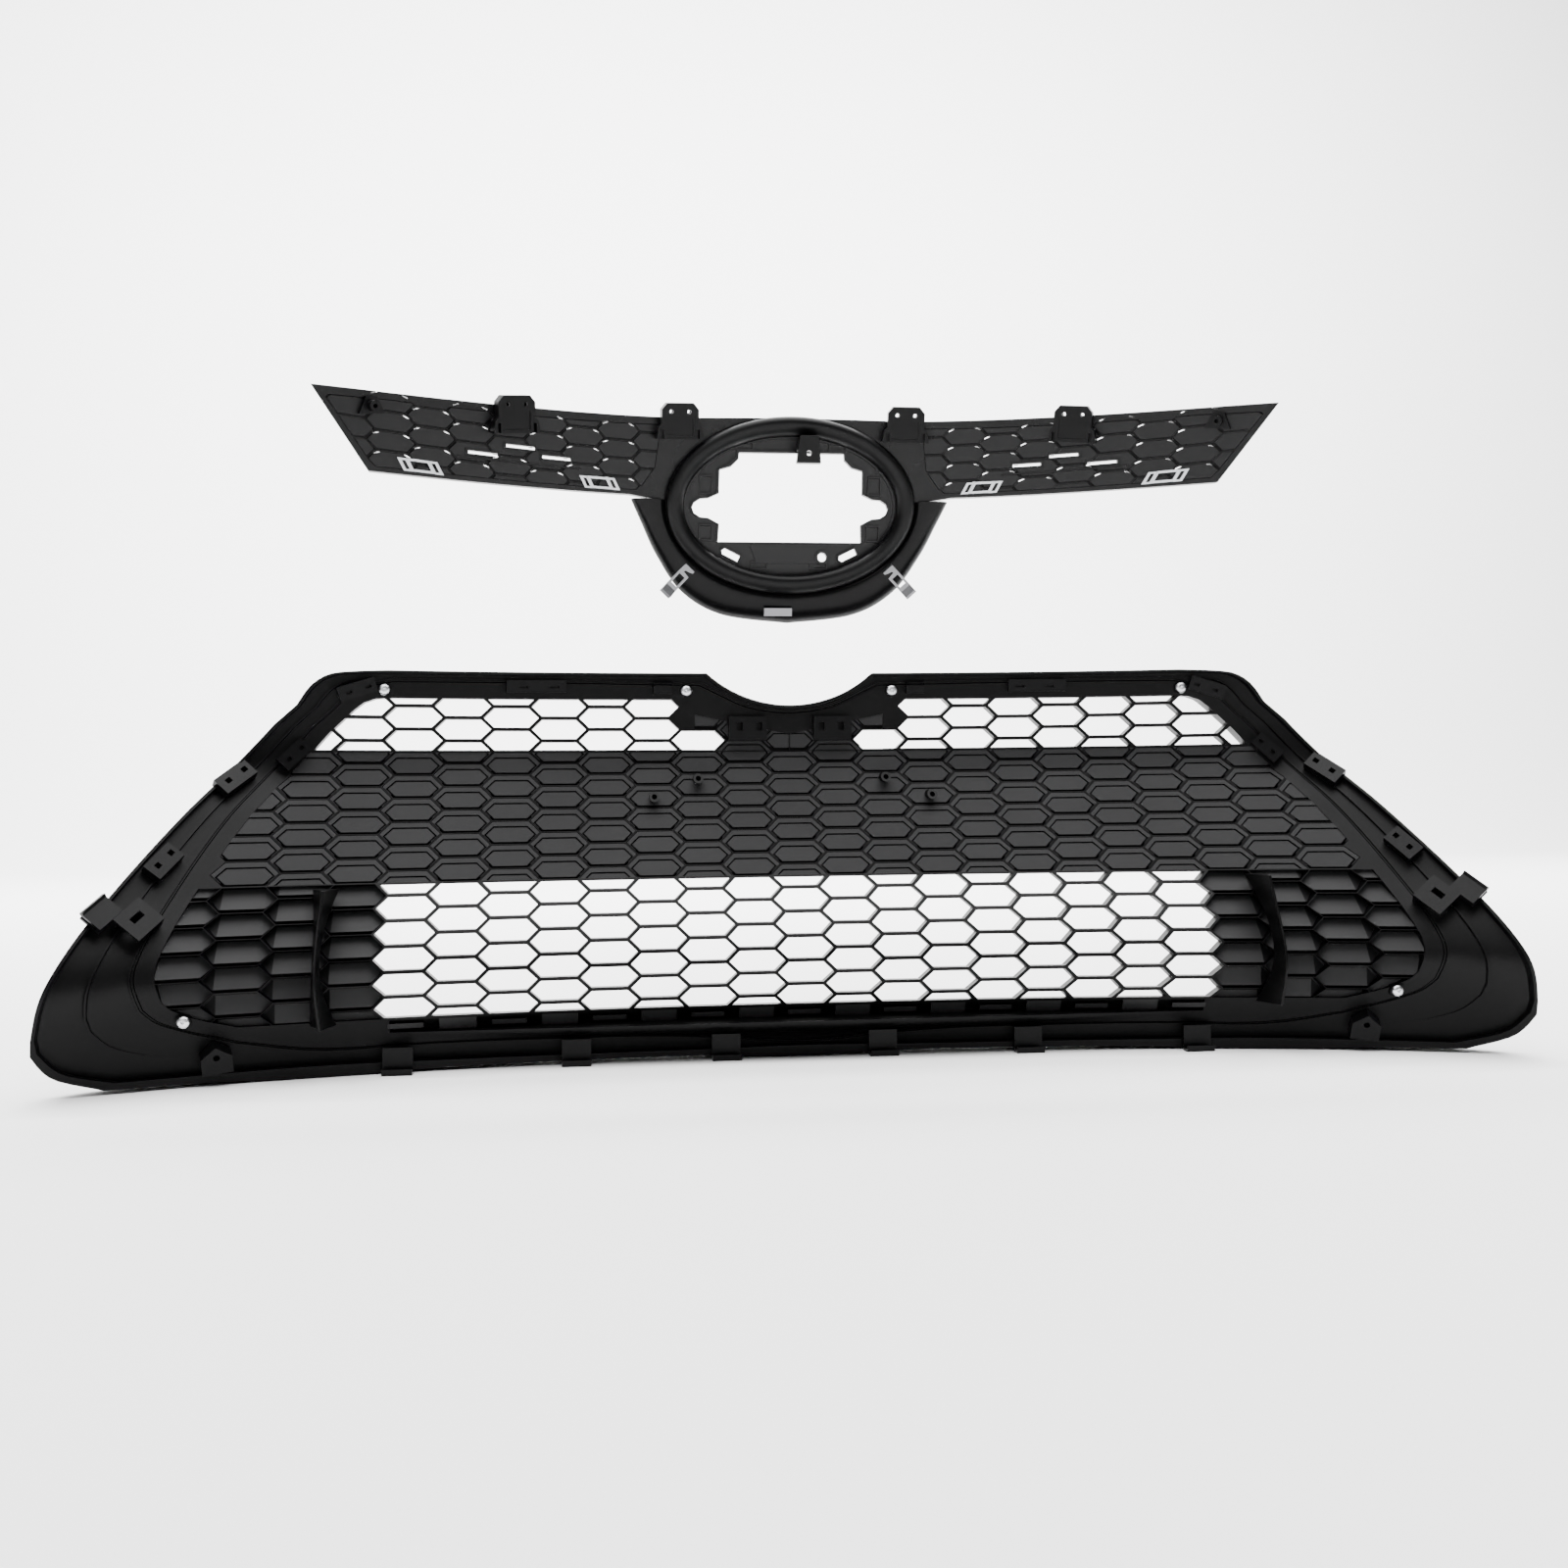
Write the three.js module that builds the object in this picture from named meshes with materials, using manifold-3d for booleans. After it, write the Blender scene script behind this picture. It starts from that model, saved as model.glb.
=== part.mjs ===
// Two-piece front grille of a compact car, seen laid out: the lower grille stands on its bottom
// edge and the upper grille, with its oval emblem seat, is held above it.
//
// Millimetres. +Z is up, -Y is the front of the car, +X is the car's left.
// Every thin moulding is drawn flat in the XZ plane and then bent onto a depth surface y(x, z),
// which bows towards the rear at the sides. All named depths are rearward of that surface.

import * as THREE from 'three';
import { mergeVertices } from 'three/addons/utils/BufferGeometryUtils.js';
import Module from 'manifold-3d';

const wasm = await Module();
wasm.setup();

// ---------------------------------------------------------------- driving dimensions

// Honeycomb of the lower grille: flat-topped cells in columns.
const CELL_PITCH_X = 46;
const CELL_PITCH_Z = 22.34;
const CELL_SLANT = 11.5; // sideways run of each slanted side
const CELL_BAR = 2.6; // bar between two cells
const CELL_BASE_Z = 60; // centre height of one cell of the middle column
const MESH_DEPTH = 12;
const BLIND_SKIN = 3;
const CLOSED_BAND_LOW = CELL_BASE_Z + 5 * CELL_PITCH_Z;
const CLOSED_BAND_HIGH = CELL_BASE_Z + 10.5 * CELL_PITCH_Z;
const OPEN_COLUMNS = 8; // columns each side of the middle that stay open in the lower band
const FIELD_FLOOR = 50; // lowest height of the cells between the closed sides

// Honeycomb of the upper grille.
const UPPER_PITCH_X = 34;
const UPPER_PITCH_Z = 16.6;
const UPPER_SLANT = 8;
const UPPER_BAR = 2.4;
const UPPER_DEPTH = 7;
const UPPER_SKIN = 2.5;

// Surround of the lower grille.
const NOTCH_RADIUS = 126;
const NOTCH_BOTTOM = 340;
const NOTCH_HALF_WIDTH = 84;
const TOP_OUTER = 372;
const TOP_INNER = 348;
const BOTTOM_OUTER = 8;
const BOTTOM_INNER = 30;
const SHELL = 3;
const FLANGE = 14; // width of the mesh's rim that lies on the surround
const REAR_LIP = 8;
const CHIN = 30; // how far the bottom lip reaches forward to the ground

// Oval ring of the upper grille.
const RING_CENTRE_Z = 535;
const RING_OUTER = [124, 82];
const RING_INNER = [106, 67];
const RING_DEPTH = 15;

// Upper grille outline.
const UPPER_TIP = [436, 606];
const UPPER_CORNER = [394, 541];
const UPPER_TOP = 618;
const UPPER_BOTTOM = 544;
const LOBE_BOTTOM = 425;

const CLEARANCE = 0.4; // gap between two pieces that touch
const STEP_GAP = 2; // gap between the mesh's front and the step it lies on
const SEAT = 1.2; // clips on a curved wall stand this far off it

// ---------------------------------------------------------------- materials

const satin = { color: 0x17181a, roughness: 0.55, metalness: 0 };
const matte = { color: 0x0e0f10, roughness: 0.7, metalness: 0 };
const gloss = { color: 0x08090a, roughness: 0.15, metalness: 0 };
const zinc = { color: 0xb9bcc0, roughness: 0.35, metalness: 1 };
const spring = { color: 0x9a9da1, roughness: 0.4, metalness: 1 };

// ---------------------------------------------------------------- depth surfaces

// Smooth curve through [height, depth] points, heights falling.
function smoothStep(points, z) {
  const last = points.length - 1;
  if (z >= points[0][0]) return points[0][1];
  if (z <= points[last][0]) return points[last][1];
  const slope = (i) => {
    if (i <= 0 || i >= last) return 0;
    return (points[i + 1][1] - points[i - 1][1]) / (points[i + 1][0] - points[i - 1][0]);
  };
  const i = points.findIndex(([height], k) => k < last && z <= height && z >= points[k + 1][0]);
  const span = points[i + 1][0] - points[i][0];
  const t = (z - points[i][0]) / span;
  const ease = t * t * (3 - 2 * t);
  return points[i][1] * (1 - ease) + points[i + 1][1] * ease
    + span * (slope(i) * t * (1 - t) * (1 - t) - slope(i + 1) * t * t * (1 - t));
}

const LOWER_PROFILE = [[380, 0], [285, 0], [240, 26], [172, 66], [112, 102], [82, 108], [35, 88], [0, 78]];

function lowerSurface(x, z) {
  const u = (x / 400) ** 2;
  return 27 * u + 8 * u * u + 7 * u * (z - CELL_BASE_Z) / 300 + smoothStep(LOWER_PROFILE, z);
}

// The upper grille leans with a slope of 0.3 and sweeps back outside its flat middle.
function upperSurface(x, z) {
  const sweep = Math.max(0, Math.abs(x) - 100) / 336;
  return 30 + 0.3 * (z - 540) + 144 * sweep ** 1.5;
}

// ---------------------------------------------------------------- solids

// Shared corners, no collapsed triangles, faces outwards.
function indexed(geometry) {
  const bare = geometry.clone();
  bare.deleteAttribute('normal');
  bare.deleteAttribute('uv');
  const merged = mergeVertices(bare, 1e-4);
  const old = merged.index.array;
  const kept = [];
  for (let i = 0; i < old.length; i += 3) {
    const [a, b, c] = [old[i], old[i + 1], old[i + 2]];
    if (a !== b && b !== c && a !== c) kept.push(a, b, c);
  }
  merged.setIndex(kept);
  return outwards(merged);
}

function solidOf(geometry) {
  const merged = indexed(geometry);
  return new wasm.Manifold(new wasm.Mesh({
    numProp: 3,
    vertProperties: new Float32Array(merged.attributes.position.array),
    triVerts: new Uint32Array(merged.index.array),
  }));
}

function geometryOf(solid) {
  const mesh = solid.getMesh();
  return rawGeometry(Array.from(mesh.vertProperties), Array.from(mesh.triVerts));
}

function rawGeometry(positions, indices) {
  const geometry = new THREE.BufferGeometry();
  geometry.setAttribute('position', new THREE.Float32BufferAttribute(positions, 3));
  geometry.setIndex(indices);
  geometry.computeVertexNormals();
  return geometry;
}

function cut(geometry, ...tools) {
  return geometryOf(tools.reduce((body, tool) => body.subtract(solidOf(tool)), solidOf(geometry)));
}

function join(geometry, ...others) {
  return geometryOf(others.reduce((body, other) => body.add(solidOf(other)), solidOf(geometry)));
}

// The biggest of the separate bodies that a cut leaves.
function biggestBody(geometry) {
  const bodies = solidOf(geometry).decompose();
  return geometryOf(bodies.reduce((best, body) => (body.volume() > best.volume() ? body : best)));
}

function mirrored(geometry) {
  const flipped = indexed(geometry);
  flipped.scale(-1, 1, 1);
  const index = flipped.index.array;
  for (let i = 0; i < index.length; i += 3) [index[i], index[i + 1]] = [index[i + 1], index[i]];
  return flipped;
}

// A box given by its low and high corners.
function block(low, high) {
  const box = new THREE.BoxGeometry(high[0] - low[0], high[1] - low[1], high[2] - low[2]);
  return box.translate((low[0] + high[0]) / 2, (low[1] + high[1]) / 2, (low[2] + high[2]) / 2);
}

// A round bar along Y between two depths.
function barY(radius, y0, y1, x = 0, z = 0, sides = 12) {
  return new THREE.CylinderGeometry(radius, radius, y1 - y0, sides).translate(x, (y0 + y1) / 2, z);
}

// A flat outline in XZ, extruded rearwards from y0 to y1.
function slab(points, y0, y1) {
  const shape = new THREE.Shape(points.map(([x, z]) => new THREE.Vector2(x, z)));
  const geometry = new THREE.ExtrudeGeometry(shape, { depth: y1 - y0, bevelEnabled: false });
  return geometry.rotateX(-Math.PI / 2).scale(1, 1, -1).translate(0, y0, 0);
}

// An outline in YZ, extruded sideways, centred on x = 0.
function profileX(points, width) {
  const shape = new THREE.Shape(points.map(([y, z]) => new THREE.Vector2(y, z)));
  const geometry = new THREE.ExtrudeGeometry(shape, { depth: width, bevelEnabled: false });
  const turn = new THREE.Matrix4().set(0, 0, 1, -width / 2, 1, 0, 0, 0, 0, 1, 0, 0, 0, 0, 0, 1);
  return geometry.applyMatrix4(turn);
}

// An outline in XY, extruded upwards, centred on z = 0.
function profileZ(points, height) {
  const shape = new THREE.Shape(points.map(([x, y]) => new THREE.Vector2(x, y)));
  const geometry = new THREE.ExtrudeGeometry(shape, { depth: height, bevelEnabled: false });
  return geometry.translate(0, 0, -height / 2);
}

// ---------------------------------------------------------------- honeycomb

function signedArea(points) {
  return points.reduce((sum, [x, z], i) => {
    const [nx, nz] = points[(i + 1) % points.length];
    return sum + (x * nz - nx * z) / 2;
  }, 0);
}

// The part of a convex cell that lies to the left of the line from a to b, a margin clear of it.
function clipByLine(points, a, b, margin = 0) {
  const length = Math.hypot(b[0] - a[0], b[1] - a[1]);
  const side = ([x, z]) => (
    ((b[0] - a[0]) * (z - a[1]) - (b[1] - a[1]) * (x - a[0])) / length - margin
  );
  const kept = [];
  points.forEach((point, i) => {
    const next = points[(i + 1) % points.length];
    const here = side(point);
    const there = side(next);
    if (here >= 0) kept.push(point);
    if (here * there < 0) {
      const t = here / (here - there);
      kept.push([point[0] + t * (next[0] - point[0]), point[1] + t * (next[1] - point[1])]);
    }
  });
  return kept;
}

function clipToField(points, field, margin = 0) {
  let kept = points;
  field.forEach((a, i) => {
    if (kept.length) kept = clipByLine(kept, a, field[(i + 1) % field.length], margin);
  });
  return kept;
}

function withoutTinyEdges(points, shortest) {
  return points.filter(([x, z], i) => {
    const [px, pz] = points[(i + points.length - 1) % points.length];
    return Math.hypot(x - px, z - pz) > shortest;
  });
}

function hexagon(x, z, { pitchX, pitchZ, slant, bar }) {
  const halfHeight = pitchZ / 2 - bar / 2;
  const lean = slant / (pitchZ / 2);
  const tip = (pitchX + slant) / 2 - (bar / 2) * Math.hypot(1, lean);
  const shoulder = tip - halfHeight * lean;
  return [
    [x + tip, z], [x + shoulder, z + halfHeight], [x - shoulder, z + halfHeight],
    [x - tip, z], [x - shoulder, z - halfHeight], [x + shoulder, z - halfHeight],
  ];
}

// All cells of a honeycomb that fit in a convex field, each cut to the field with a margin.
// Columns rise by a few hundredths towards the sides, so that no cell edges are exactly in line:
// a triangulated face would lose the corners between them.
function cellsIn(field, grid, margin, smallest = 90) {
  const xs = field.map(([x]) => x);
  const zs = field.map(([, z]) => z);
  const reach = Math.ceil(Math.max(...xs.map(Math.abs)) / grid.pitchX) + 1;
  const cells = [];
  for (let column = -reach; column <= reach; column += 1) {
    const shift = column % 2 === 0 ? 0 : grid.pitchZ / 2;
    const first = Math.floor((Math.min(...zs) - grid.baseZ) / grid.pitchZ) - 1;
    const last = Math.ceil((Math.max(...zs) - grid.baseZ) / grid.pitchZ) + 1;
    for (let row = first; row <= last; row += 1) {
      const rise = 0.002 * (column + 0.4) ** 2;
      const z = grid.baseZ + shift + row * grid.pitchZ + rise;
      const whole = hexagon(column * grid.pitchX, z, grid);
      const cell = withoutTinyEdges(clipToField(whole, field, margin + rise), 1.5);
      if (cell.length > 2 && signedArea(cell) > smallest) cells.push({ column, points: cell });
    }
  }
  return cells;
}

// Turns the diagonals of an anticlockwise triangulation until it is a Delaunay one, whose short
// edges follow a bent surface closely. Its outer and hole edges stay.
function relaxed(triangles, points) {
  const count = points.length;
  const owner = new Map();
  const claim = (index) => triangles[index].forEach((a, k, corners) => {
    owner.set(a * count + corners[(k + 1) % 3], index);
  });
  triangles.forEach((_, index) => claim(index));
  const insideCircle = (corners, d) => {
    const [[ax, az], [bx, bz], [cx, cz]] = corners.map((k) => (
      [points[k][0] - points[d][0], points[k][1] - points[d][1]]
    ));
    return (ax * ax + az * az) * (bx * cz - cx * bz) - (bx * bx + bz * bz) * (ax * cz - cx * az)
      + (cx * cx + cz * cz) * (ax * bz - bx * az) > 1e-6;
  };
  const waiting = [...owner.keys()];
  while (waiting.length) {
    const edge = waiting.pop();
    const [a, b] = [Math.floor(edge / count), edge % count];
    const first = owner.get(edge);
    const second = owner.get(b * count + a);
    if (first === undefined || second === undefined) continue;
    const c = triangles[first].find((k) => k !== a && k !== b);
    const d = triangles[second].find((k) => k !== a && k !== b);
    if (!insideCircle([a, b, c], d)) continue;
    owner.delete(edge);
    owner.delete(b * count + a);
    triangles[first] = [a, d, c];
    triangles[second] = [d, b, c];
    claim(first);
    claim(second);
    waiting.push(a * count + d, d * count + b, b * count + c, c * count + a);
  }
  return triangles;
}

// A plate pierced by open cells, with blind cells sunk into its front, bent onto a surface.
// Its rear face lies on the surface. Plain cells are full depth and only help it to bend.
// Outline and cells run anticlockwise.
function honeycombPlate({
  outline, openings = [], open = [], blind = [], plain = [], depth, skin, surface,
}) {
  const positions = [];
  const indices = [];
  const ring = (points, y) => points.map(([x, z]) => {
    positions.push(x, y + surface(x, z), z);
    return positions.length / 3 - 1;
  });
  const wall = (front, rear, inwards) => front.forEach((a, i) => {
    const k = (i + 1) % front.length;
    const quad = [a, rear[i], front[k], front[k], rear[i], rear[k]];
    indices.push(...(inwards ? quad.reverse() : quad));
  });
  const fan = (ids, facingRear) => {
    for (let i = 1; i + 1 < ids.length; i += 1) {
      indices.push(...(facingRear ? [ids[0], ids[i + 1], ids[i]] : [ids[0], ids[i], ids[i + 1]]));
    }
  };
  const face = (rings, loops, facingRear) => {
    const toVectors = (points) => points.map(([x, z]) => new THREE.Vector2(x, z));
    const [contour, ...holes] = loops.map(toVectors);
    const ids = rings.flat();
    const flat = loops.flat();
    const triangles = THREE.ShapeUtils.triangulateShape(contour, holes);
    const total = triangles.reduce((sum, corner) => sum + signedArea(corner.map((k) => flat[k])), 0);
    if (total < 0) triangles.forEach((corner) => corner.reverse());
    relaxed(triangles, flat).forEach((corner) => {
      const [a, b, c] = corner.map((k) => ids[k]);
      indices.push(...(facingRear ? [a, c, b] : [a, b, c]));
    });
  };

  const through = [...openings, ...open];
  const outlineFront = ring(outline, -depth);
  const outlineRear = ring(outline, 0);
  wall(outlineFront, outlineRear, false);
  const throughFront = through.map((points) => ring(points, -depth));
  const throughRear = through.map((points) => ring(points, 0));
  throughFront.forEach((front, i) => wall(front, throughRear[i], true));
  const blindFront = blind.map((points) => ring(points, -depth));
  blind.forEach((points, i) => {
    const floor = ring(points, -skin);
    wall(blindFront[i], floor, true);
    fan(floor, false);
  });
  const plainAnchors = plain.map(triangleInside);
  const plainFront = plainAnchors.map((points) => ring(points, -depth));
  plainFront.forEach((ids) => fan(ids, false));
  const anchors = [...blind.map(triangleInside), ...plainAnchors];
  const anchorsRear = anchors.map((points) => ring(points, 0));
  anchorsRear.forEach((ids) => fan(ids, true));
  face(
    [outlineFront, ...throughFront, ...blindFront, ...plainFront],
    [outline, ...through, ...blind, ...plainAnchors],
    false,
  );
  face([outlineRear, ...throughRear, ...anchorsRear], [outline, ...through, ...anchors], true);
  return rawGeometry(positions, indices);
}

// Three corners of a cell drawn in towards its middle, so that the skin behind follows the bend.
// The amount changes a little from row to row, which keeps these corners out of line too.
function triangleInside(points) {
  const middle = [0, 1].map((axis) => (
    points.reduce((sum, point) => sum + point[axis], 0) / points.length
  ));
  const corners = points.length < 5 ? points.slice(0, 3) : [points[0], points[2], points[4]];
  const scale = 0.65 + 0.05 * Math.sin(middle[1] + 0.1 * middle[0]);
  return corners.map((point) => (
    point.map((value, axis) => middle[axis] + scale * (value - middle[axis]))
  ));
}

// ---------------------------------------------------------------- lower grille: frame line

// Matched pairs of points round the right half of the surround, from the notch's middle over the
// top, down the side and back to the middle of the bottom edge. chin grows along the bottom.
function halfStations() {
  const line = (a, b) => new THREE.LineCurve(new THREE.Vector2(...a), new THREE.Vector2(...b));
  const bend = (...points) => new THREE.SplineCurve(points.map((p) => new THREE.Vector2(...p)));
  const notchAngle = Math.asin(NOTCH_HALF_WIDTH / NOTCH_RADIUS);
  const notchCentre = NOTCH_BOTTOM + NOTCH_RADIUS;
  const notch = new THREE.EllipseCurve(
    0, notchCentre, NOTCH_RADIUS, NOTCH_RADIUS, -Math.PI / 2, notchAngle - Math.PI / 2, false,
  );
  const innerNotch = bend([0, 318], [46, 325], [96, TOP_INNER - 1]);
  const runs = [
    { outer: notch, inner: innerNotch, steps: 4, chin: [0, 0] },
    {
      outer: line([NOTCH_HALF_WIDTH + 2, TOP_OUTER], [390, TOP_OUTER]),
      inner: line([100, TOP_INNER], [382, TOP_INNER]),
      steps: 5,
      chin: [0, 0],
    },
    {
      outer: bend([412, 371], [440, 368], [458, 357], [471, 338]),
      inner: bend([391, 348], [403, 347], [414, 343], [424, 335]),
      steps: 3,
      chin: [0, 0],
    },
    {
      outer: bend([490, 320], [556, 240], [610, 160], [640, 100], [655, 52]),
      inner: bend([446, 313], [507, 236], [548, 160], [567, 110], [566, 88]),
      steps: 12,
      chin: [0, 0],
    },
    {
      outer: bend([655, 40], [640, 20], [604, BOTTOM_OUTER]),
      inner: bend([563, 77], [552, 66], [530, 57]),
      steps: 3,
      chin: [0.3, 1],
    },
    {
      outer: line([540, BOTTOM_OUTER], [0, BOTTOM_OUTER]),
      inner: bend([496, 47], [400, 38], [200, 33], [0, BOTTOM_INNER]),
      steps: 7,
      chin: [1, 1],
    },
  ];
  return runs.flatMap(({ outer, inner, steps, chin }) => {
    const count = Array.from({ length: steps + 1 }, (_, i) => i / steps);
    return count.map((t) => {
      const o = outer.getPoint(t);
      const i = inner.getPoint(t);
      return { outer: [o.x, o.y], inner: [i.x, i.y], chin: chin[0] + (chin[1] - chin[0]) * t };
    });
  });
}

function allStations() {
  const half = halfStations();
  const flip = ({ outer, inner, chin }) => (
    { outer: [-outer[0], outer[1]], inner: [-inner[0], inner[1]], chin }
  );
  return [...half, ...half.slice(1, -1).reverse().map(flip)];
}

const STATIONS = allStations();

// A point a distance outwards from the inner edge of the surround, at one station.
function outFrom(station, distance) {
  const [ix, iz] = station.inner;
  const [ox, oz] = station.outer;
  const width = Math.hypot(ox - ix, oz - iz);
  return [ix + (ox - ix) * distance / width, iz + (oz - iz) * distance / width];
}

function stationWidth({ inner, outer }) {
  return Math.hypot(outer[0] - inner[0], outer[1] - inner[1]);
}

// Surround: a thin shell that carries the mesh's rim on a step, with a front lip round the mesh,
// a rear lip round the outside and a chin that reaches forward to the ground.
function surroundGeometry() {
  const step = MESH_DEPTH + STEP_GAP;
  const section = (station) => {
    const width = stationWidth(station);
    const chinY = -(SHELL + 3) - (CHIN - SHELL - 3) * station.chin;
    const chinOut = width + BOTTOM_OUTER * station.chin;
    return [
      [0, -step], [FLANGE + 1, -step], [FLANGE + 1, -0.5], [width - SHELL, -0.5],
      [width - SHELL, REAR_LIP], [width, REAR_LIP], [chinOut, chinY],
      [width - SHELL, -0.5 - SHELL], [FLANGE + 1 + SHELL, -0.5 - SHELL],
      [FLANGE + 1 + SHELL, -step - SHELL], [SHELL, -step - SHELL], [1, -step - 10],
    ];
  };
  const rings = STATIONS.map((station) => section(station).map(([distance, depth]) => {
    const [x, z] = outFrom(station, distance);
    return [x, depth + lowerSurface(x, Math.max(z, 0)), z];
  }));
  return loopLoft(rings);
}

// A closed loop of equal rings of points, skinned with quads.
function loopLoft(rings) {
  const size = rings[0].length;
  const indices = [];
  rings.forEach((_, r) => {
    const next = (r + 1) % rings.length;
    for (let i = 0; i < size; i += 1) {
      const k = (i + 1) % size;
      const [a, b] = [r * size + i, r * size + k];
      const [c, d] = [next * size + i, next * size + k];
      indices.push(a, b, c, c, b, d);
    }
  });
  return outwards(rawGeometry(rings.flat(2), indices));
}

// The same surface with its faces turned outwards.
function outwards(geometry) {
  const position = geometry.attributes.position;
  const index = geometry.index.array;
  const corner = (k) => new THREE.Vector3().fromBufferAttribute(position, index[k]);
  let volume = 0;
  for (let i = 0; i < index.length; i += 3) {
    volume += corner(i).dot(corner(i + 1).cross(corner(i + 2)));
  }
  if (volume < 0) {
    for (let i = 0; i < index.length; i += 3) [index[i], index[i + 1]] = [index[i + 1], index[i]];
  }
  return geometry;
}

// ---------------------------------------------------------------- lower grille: mesh

const SCREW_PLACES = [[394, 354], [104, 354.8], [547, 59]];
const SCREW_PAD_RADIUS = 5.8;
const SCREW_PAD = 3.2; // flat pad that a screw head lies on, behind the sloping rim
const PLATE_POSTS = [[94, 267], [138, 249]];

function bothSides(places) {
  return places.flatMap(([x, z]) => [[x, z], [-x, z]]);
}

function circle(x, z, radius, sides) {
  return Array.from({ length: sides }, (_, i) => {
    const angle = (2 * Math.PI * i) / sides;
    return [x + radius * Math.cos(angle), z + radius * Math.sin(angle)];
  });
}

function lowerMeshGeometry() {
  const anticlockwise = (points) => (signedArea(points) > 0 ? points : [...points].reverse());
  const outline = anticlockwise(STATIONS.map((station) => outFrom(station, FLANGE)));
  const field = anticlockwise(STATIONS
    .map(({ inner }) => inner)
    .filter(([x, z]) => !(Math.abs(x) < 99 && z > CLOSED_BAND_HIGH)));
  const grid = {
    pitchX: CELL_PITCH_X, pitchZ: CELL_PITCH_Z, slant: CELL_SLANT, bar: CELL_BAR, baseZ: CELL_BASE_Z,
  };
  const band = (low, high) => {
    const raised = clipByLine(field, [-700, low], [700, low]);
    return withoutTinyEdges(clipByLine(raised, [700, high], [-700, high]), 1);
  };
  const edge = CELL_BAR / 2;
  const top = cellsIn(band(CLOSED_BAND_HIGH, TOP_INNER), grid, edge);
  const middle = cellsIn(band(CLOSED_BAND_LOW, CLOSED_BAND_HIGH), grid, edge);
  const bottom = cellsIn(band(FIELD_FLOOR, CLOSED_BAND_LOW), grid, edge);
  const skirt = cellsIn(band(BOTTOM_INNER + 4, FIELD_FLOOR), grid, edge, 200);

  const underNotch = ({ points }) => points.some(([x, z]) => (
    Math.hypot(x, z - NOTCH_BOTTOM - NOTCH_RADIUS) < NOTCH_RADIUS + 27
  ));
  const isOpen = ({ column }) => Math.abs(column) <= OPEN_COLUMNS;
  const clearTop = top.filter((cell) => !underNotch(cell));
  const beside = ({ column }) => Math.abs(column) > 1;
  const shapes = (cells) => cells.map(({ points }) => points);
  const plate = honeycombPlate({
    outline,
    open: shapes([...clearTop.filter(beside), ...bottom.filter(isOpen)]),
    blind: shapes([...clearTop.filter((cell) => !beside(cell)), ...middle]),
    plain: shapes([...bottom, ...skirt].filter((cell) => !isOpen(cell))),
    depth: MESH_DEPTH,
    skin: BLIND_SKIN,
    surface: lowerSurface,
  });
  const pads = bothSides(SCREW_PLACES).map(([x, z]) => (
    barY(SCREW_PAD_RADIUS, -6, SCREW_PAD, x, z).translate(0, lowerSurface(x, z), 0)
  ));
  const posts = bothSides(PLATE_POSTS).map(platePost);
  return cut(join(plate, ...pads, ...posts), ...screwHoles());
}

function screwHoles() {
  return bothSides(SCREW_PLACES).map(([x, z]) => (
    barY(2.6, -40, 20, x, z, 8).translate(0, lowerSurface(x, z), 0)
  ));
}

// A hollow post for a number-plate screw.
function platePost([x, z]) {
  const outline = [[0, -1.5], [5, -1.5], [4.4, 13], [2.2, 13], [2.2, 3], [0, 3]];
  const post = new THREE.LatheGeometry(outline.map(([r, y]) => new THREE.Vector2(r, y)), 10);
  return post.translate(x, lowerSurface(x, z), z);
}

// ---------------------------------------------------------------- small pieces (base at y = 0)

function screwGeometry() {
  const points = [[0, -17], [2, -16], [2, 0], [5.6, 0], [5.6, 1.4], [4, 3.2], [0, 3.6]];
  return new THREE.LatheGeometry(points.map(([r, y]) => new THREE.Vector2(r, y)), 12);
}

// Slotted plate on a foot: the tab that a fender retainer snaps into.
function slottedBracket(width, height, reach) {
  const plate = block([-width / 2, reach - 2.5, -height / 2], [width / 2, reach, height / 2]);
  const foot = block([-width / 2, 0, -height / 2], [-width / 2 + 3, reach - 1, height / 2]);
  const rib = block([-width / 2 + 1, 0, height / 2 - 3], [width / 2 - 2, reach - 1, height / 2]);
  const slot = block([-6, reach - 5, -1], [6, reach + 2, 5]);
  return cut(join(plate, foot, rib), slot);
}

// Open-fronted box with two windows in its rear wall.
function windowClip(width, height, reach) {
  const wall = 2.5;
  const side = width / 2;
  const top = height / 2;
  const body = block([-side, 0, -top], [side, reach, top]);
  const cavity = block([wall - side, wall, -top - 1], [side - wall, reach - wall, top - 3]);
  const window = (x) => block([x - width * 0.08, reach - 5, -2], [x + width * 0.08, reach + 1, top - 6]);
  return cut(body, cavity, window(-width * 0.3), window(width * 0.22));
}

// A springy hook: a foot, an arm and a barb.
function hookClip(width, height, reach) {
  return profileX([
    [0, -height / 2], [reach, -height / 2], [reach, height / 2 - 4], [reach + 3, height / 2 - 2],
    [reach - 1, height / 2], [reach - 3, height / 2 - 1], [reach - 3, 3 - height / 2],
    [2.5, 3 - height / 2], [2.5, height / 2 - 2], [0, height / 2 - 2],
  ], width);
}

// Bent sheet-metal spring nut with a window between two raised tongues.
function springClipGeometry(length, height) {
  const end = length / 2;
  const sheet = profileZ([
    [-end, 0], [end, 0], [end, 1.2], [end * 0.85, 4.2], [end * 0.5, 1.6], [-end * 0.5, 1.6],
    [-end * 0.85, 4.2], [-end, 1.2],
  ], height);
  return cut(sheet, block([-end * 0.3, -1, -height * 0.3], [end * 0.3, 6, height * 0.3]));
}

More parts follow.
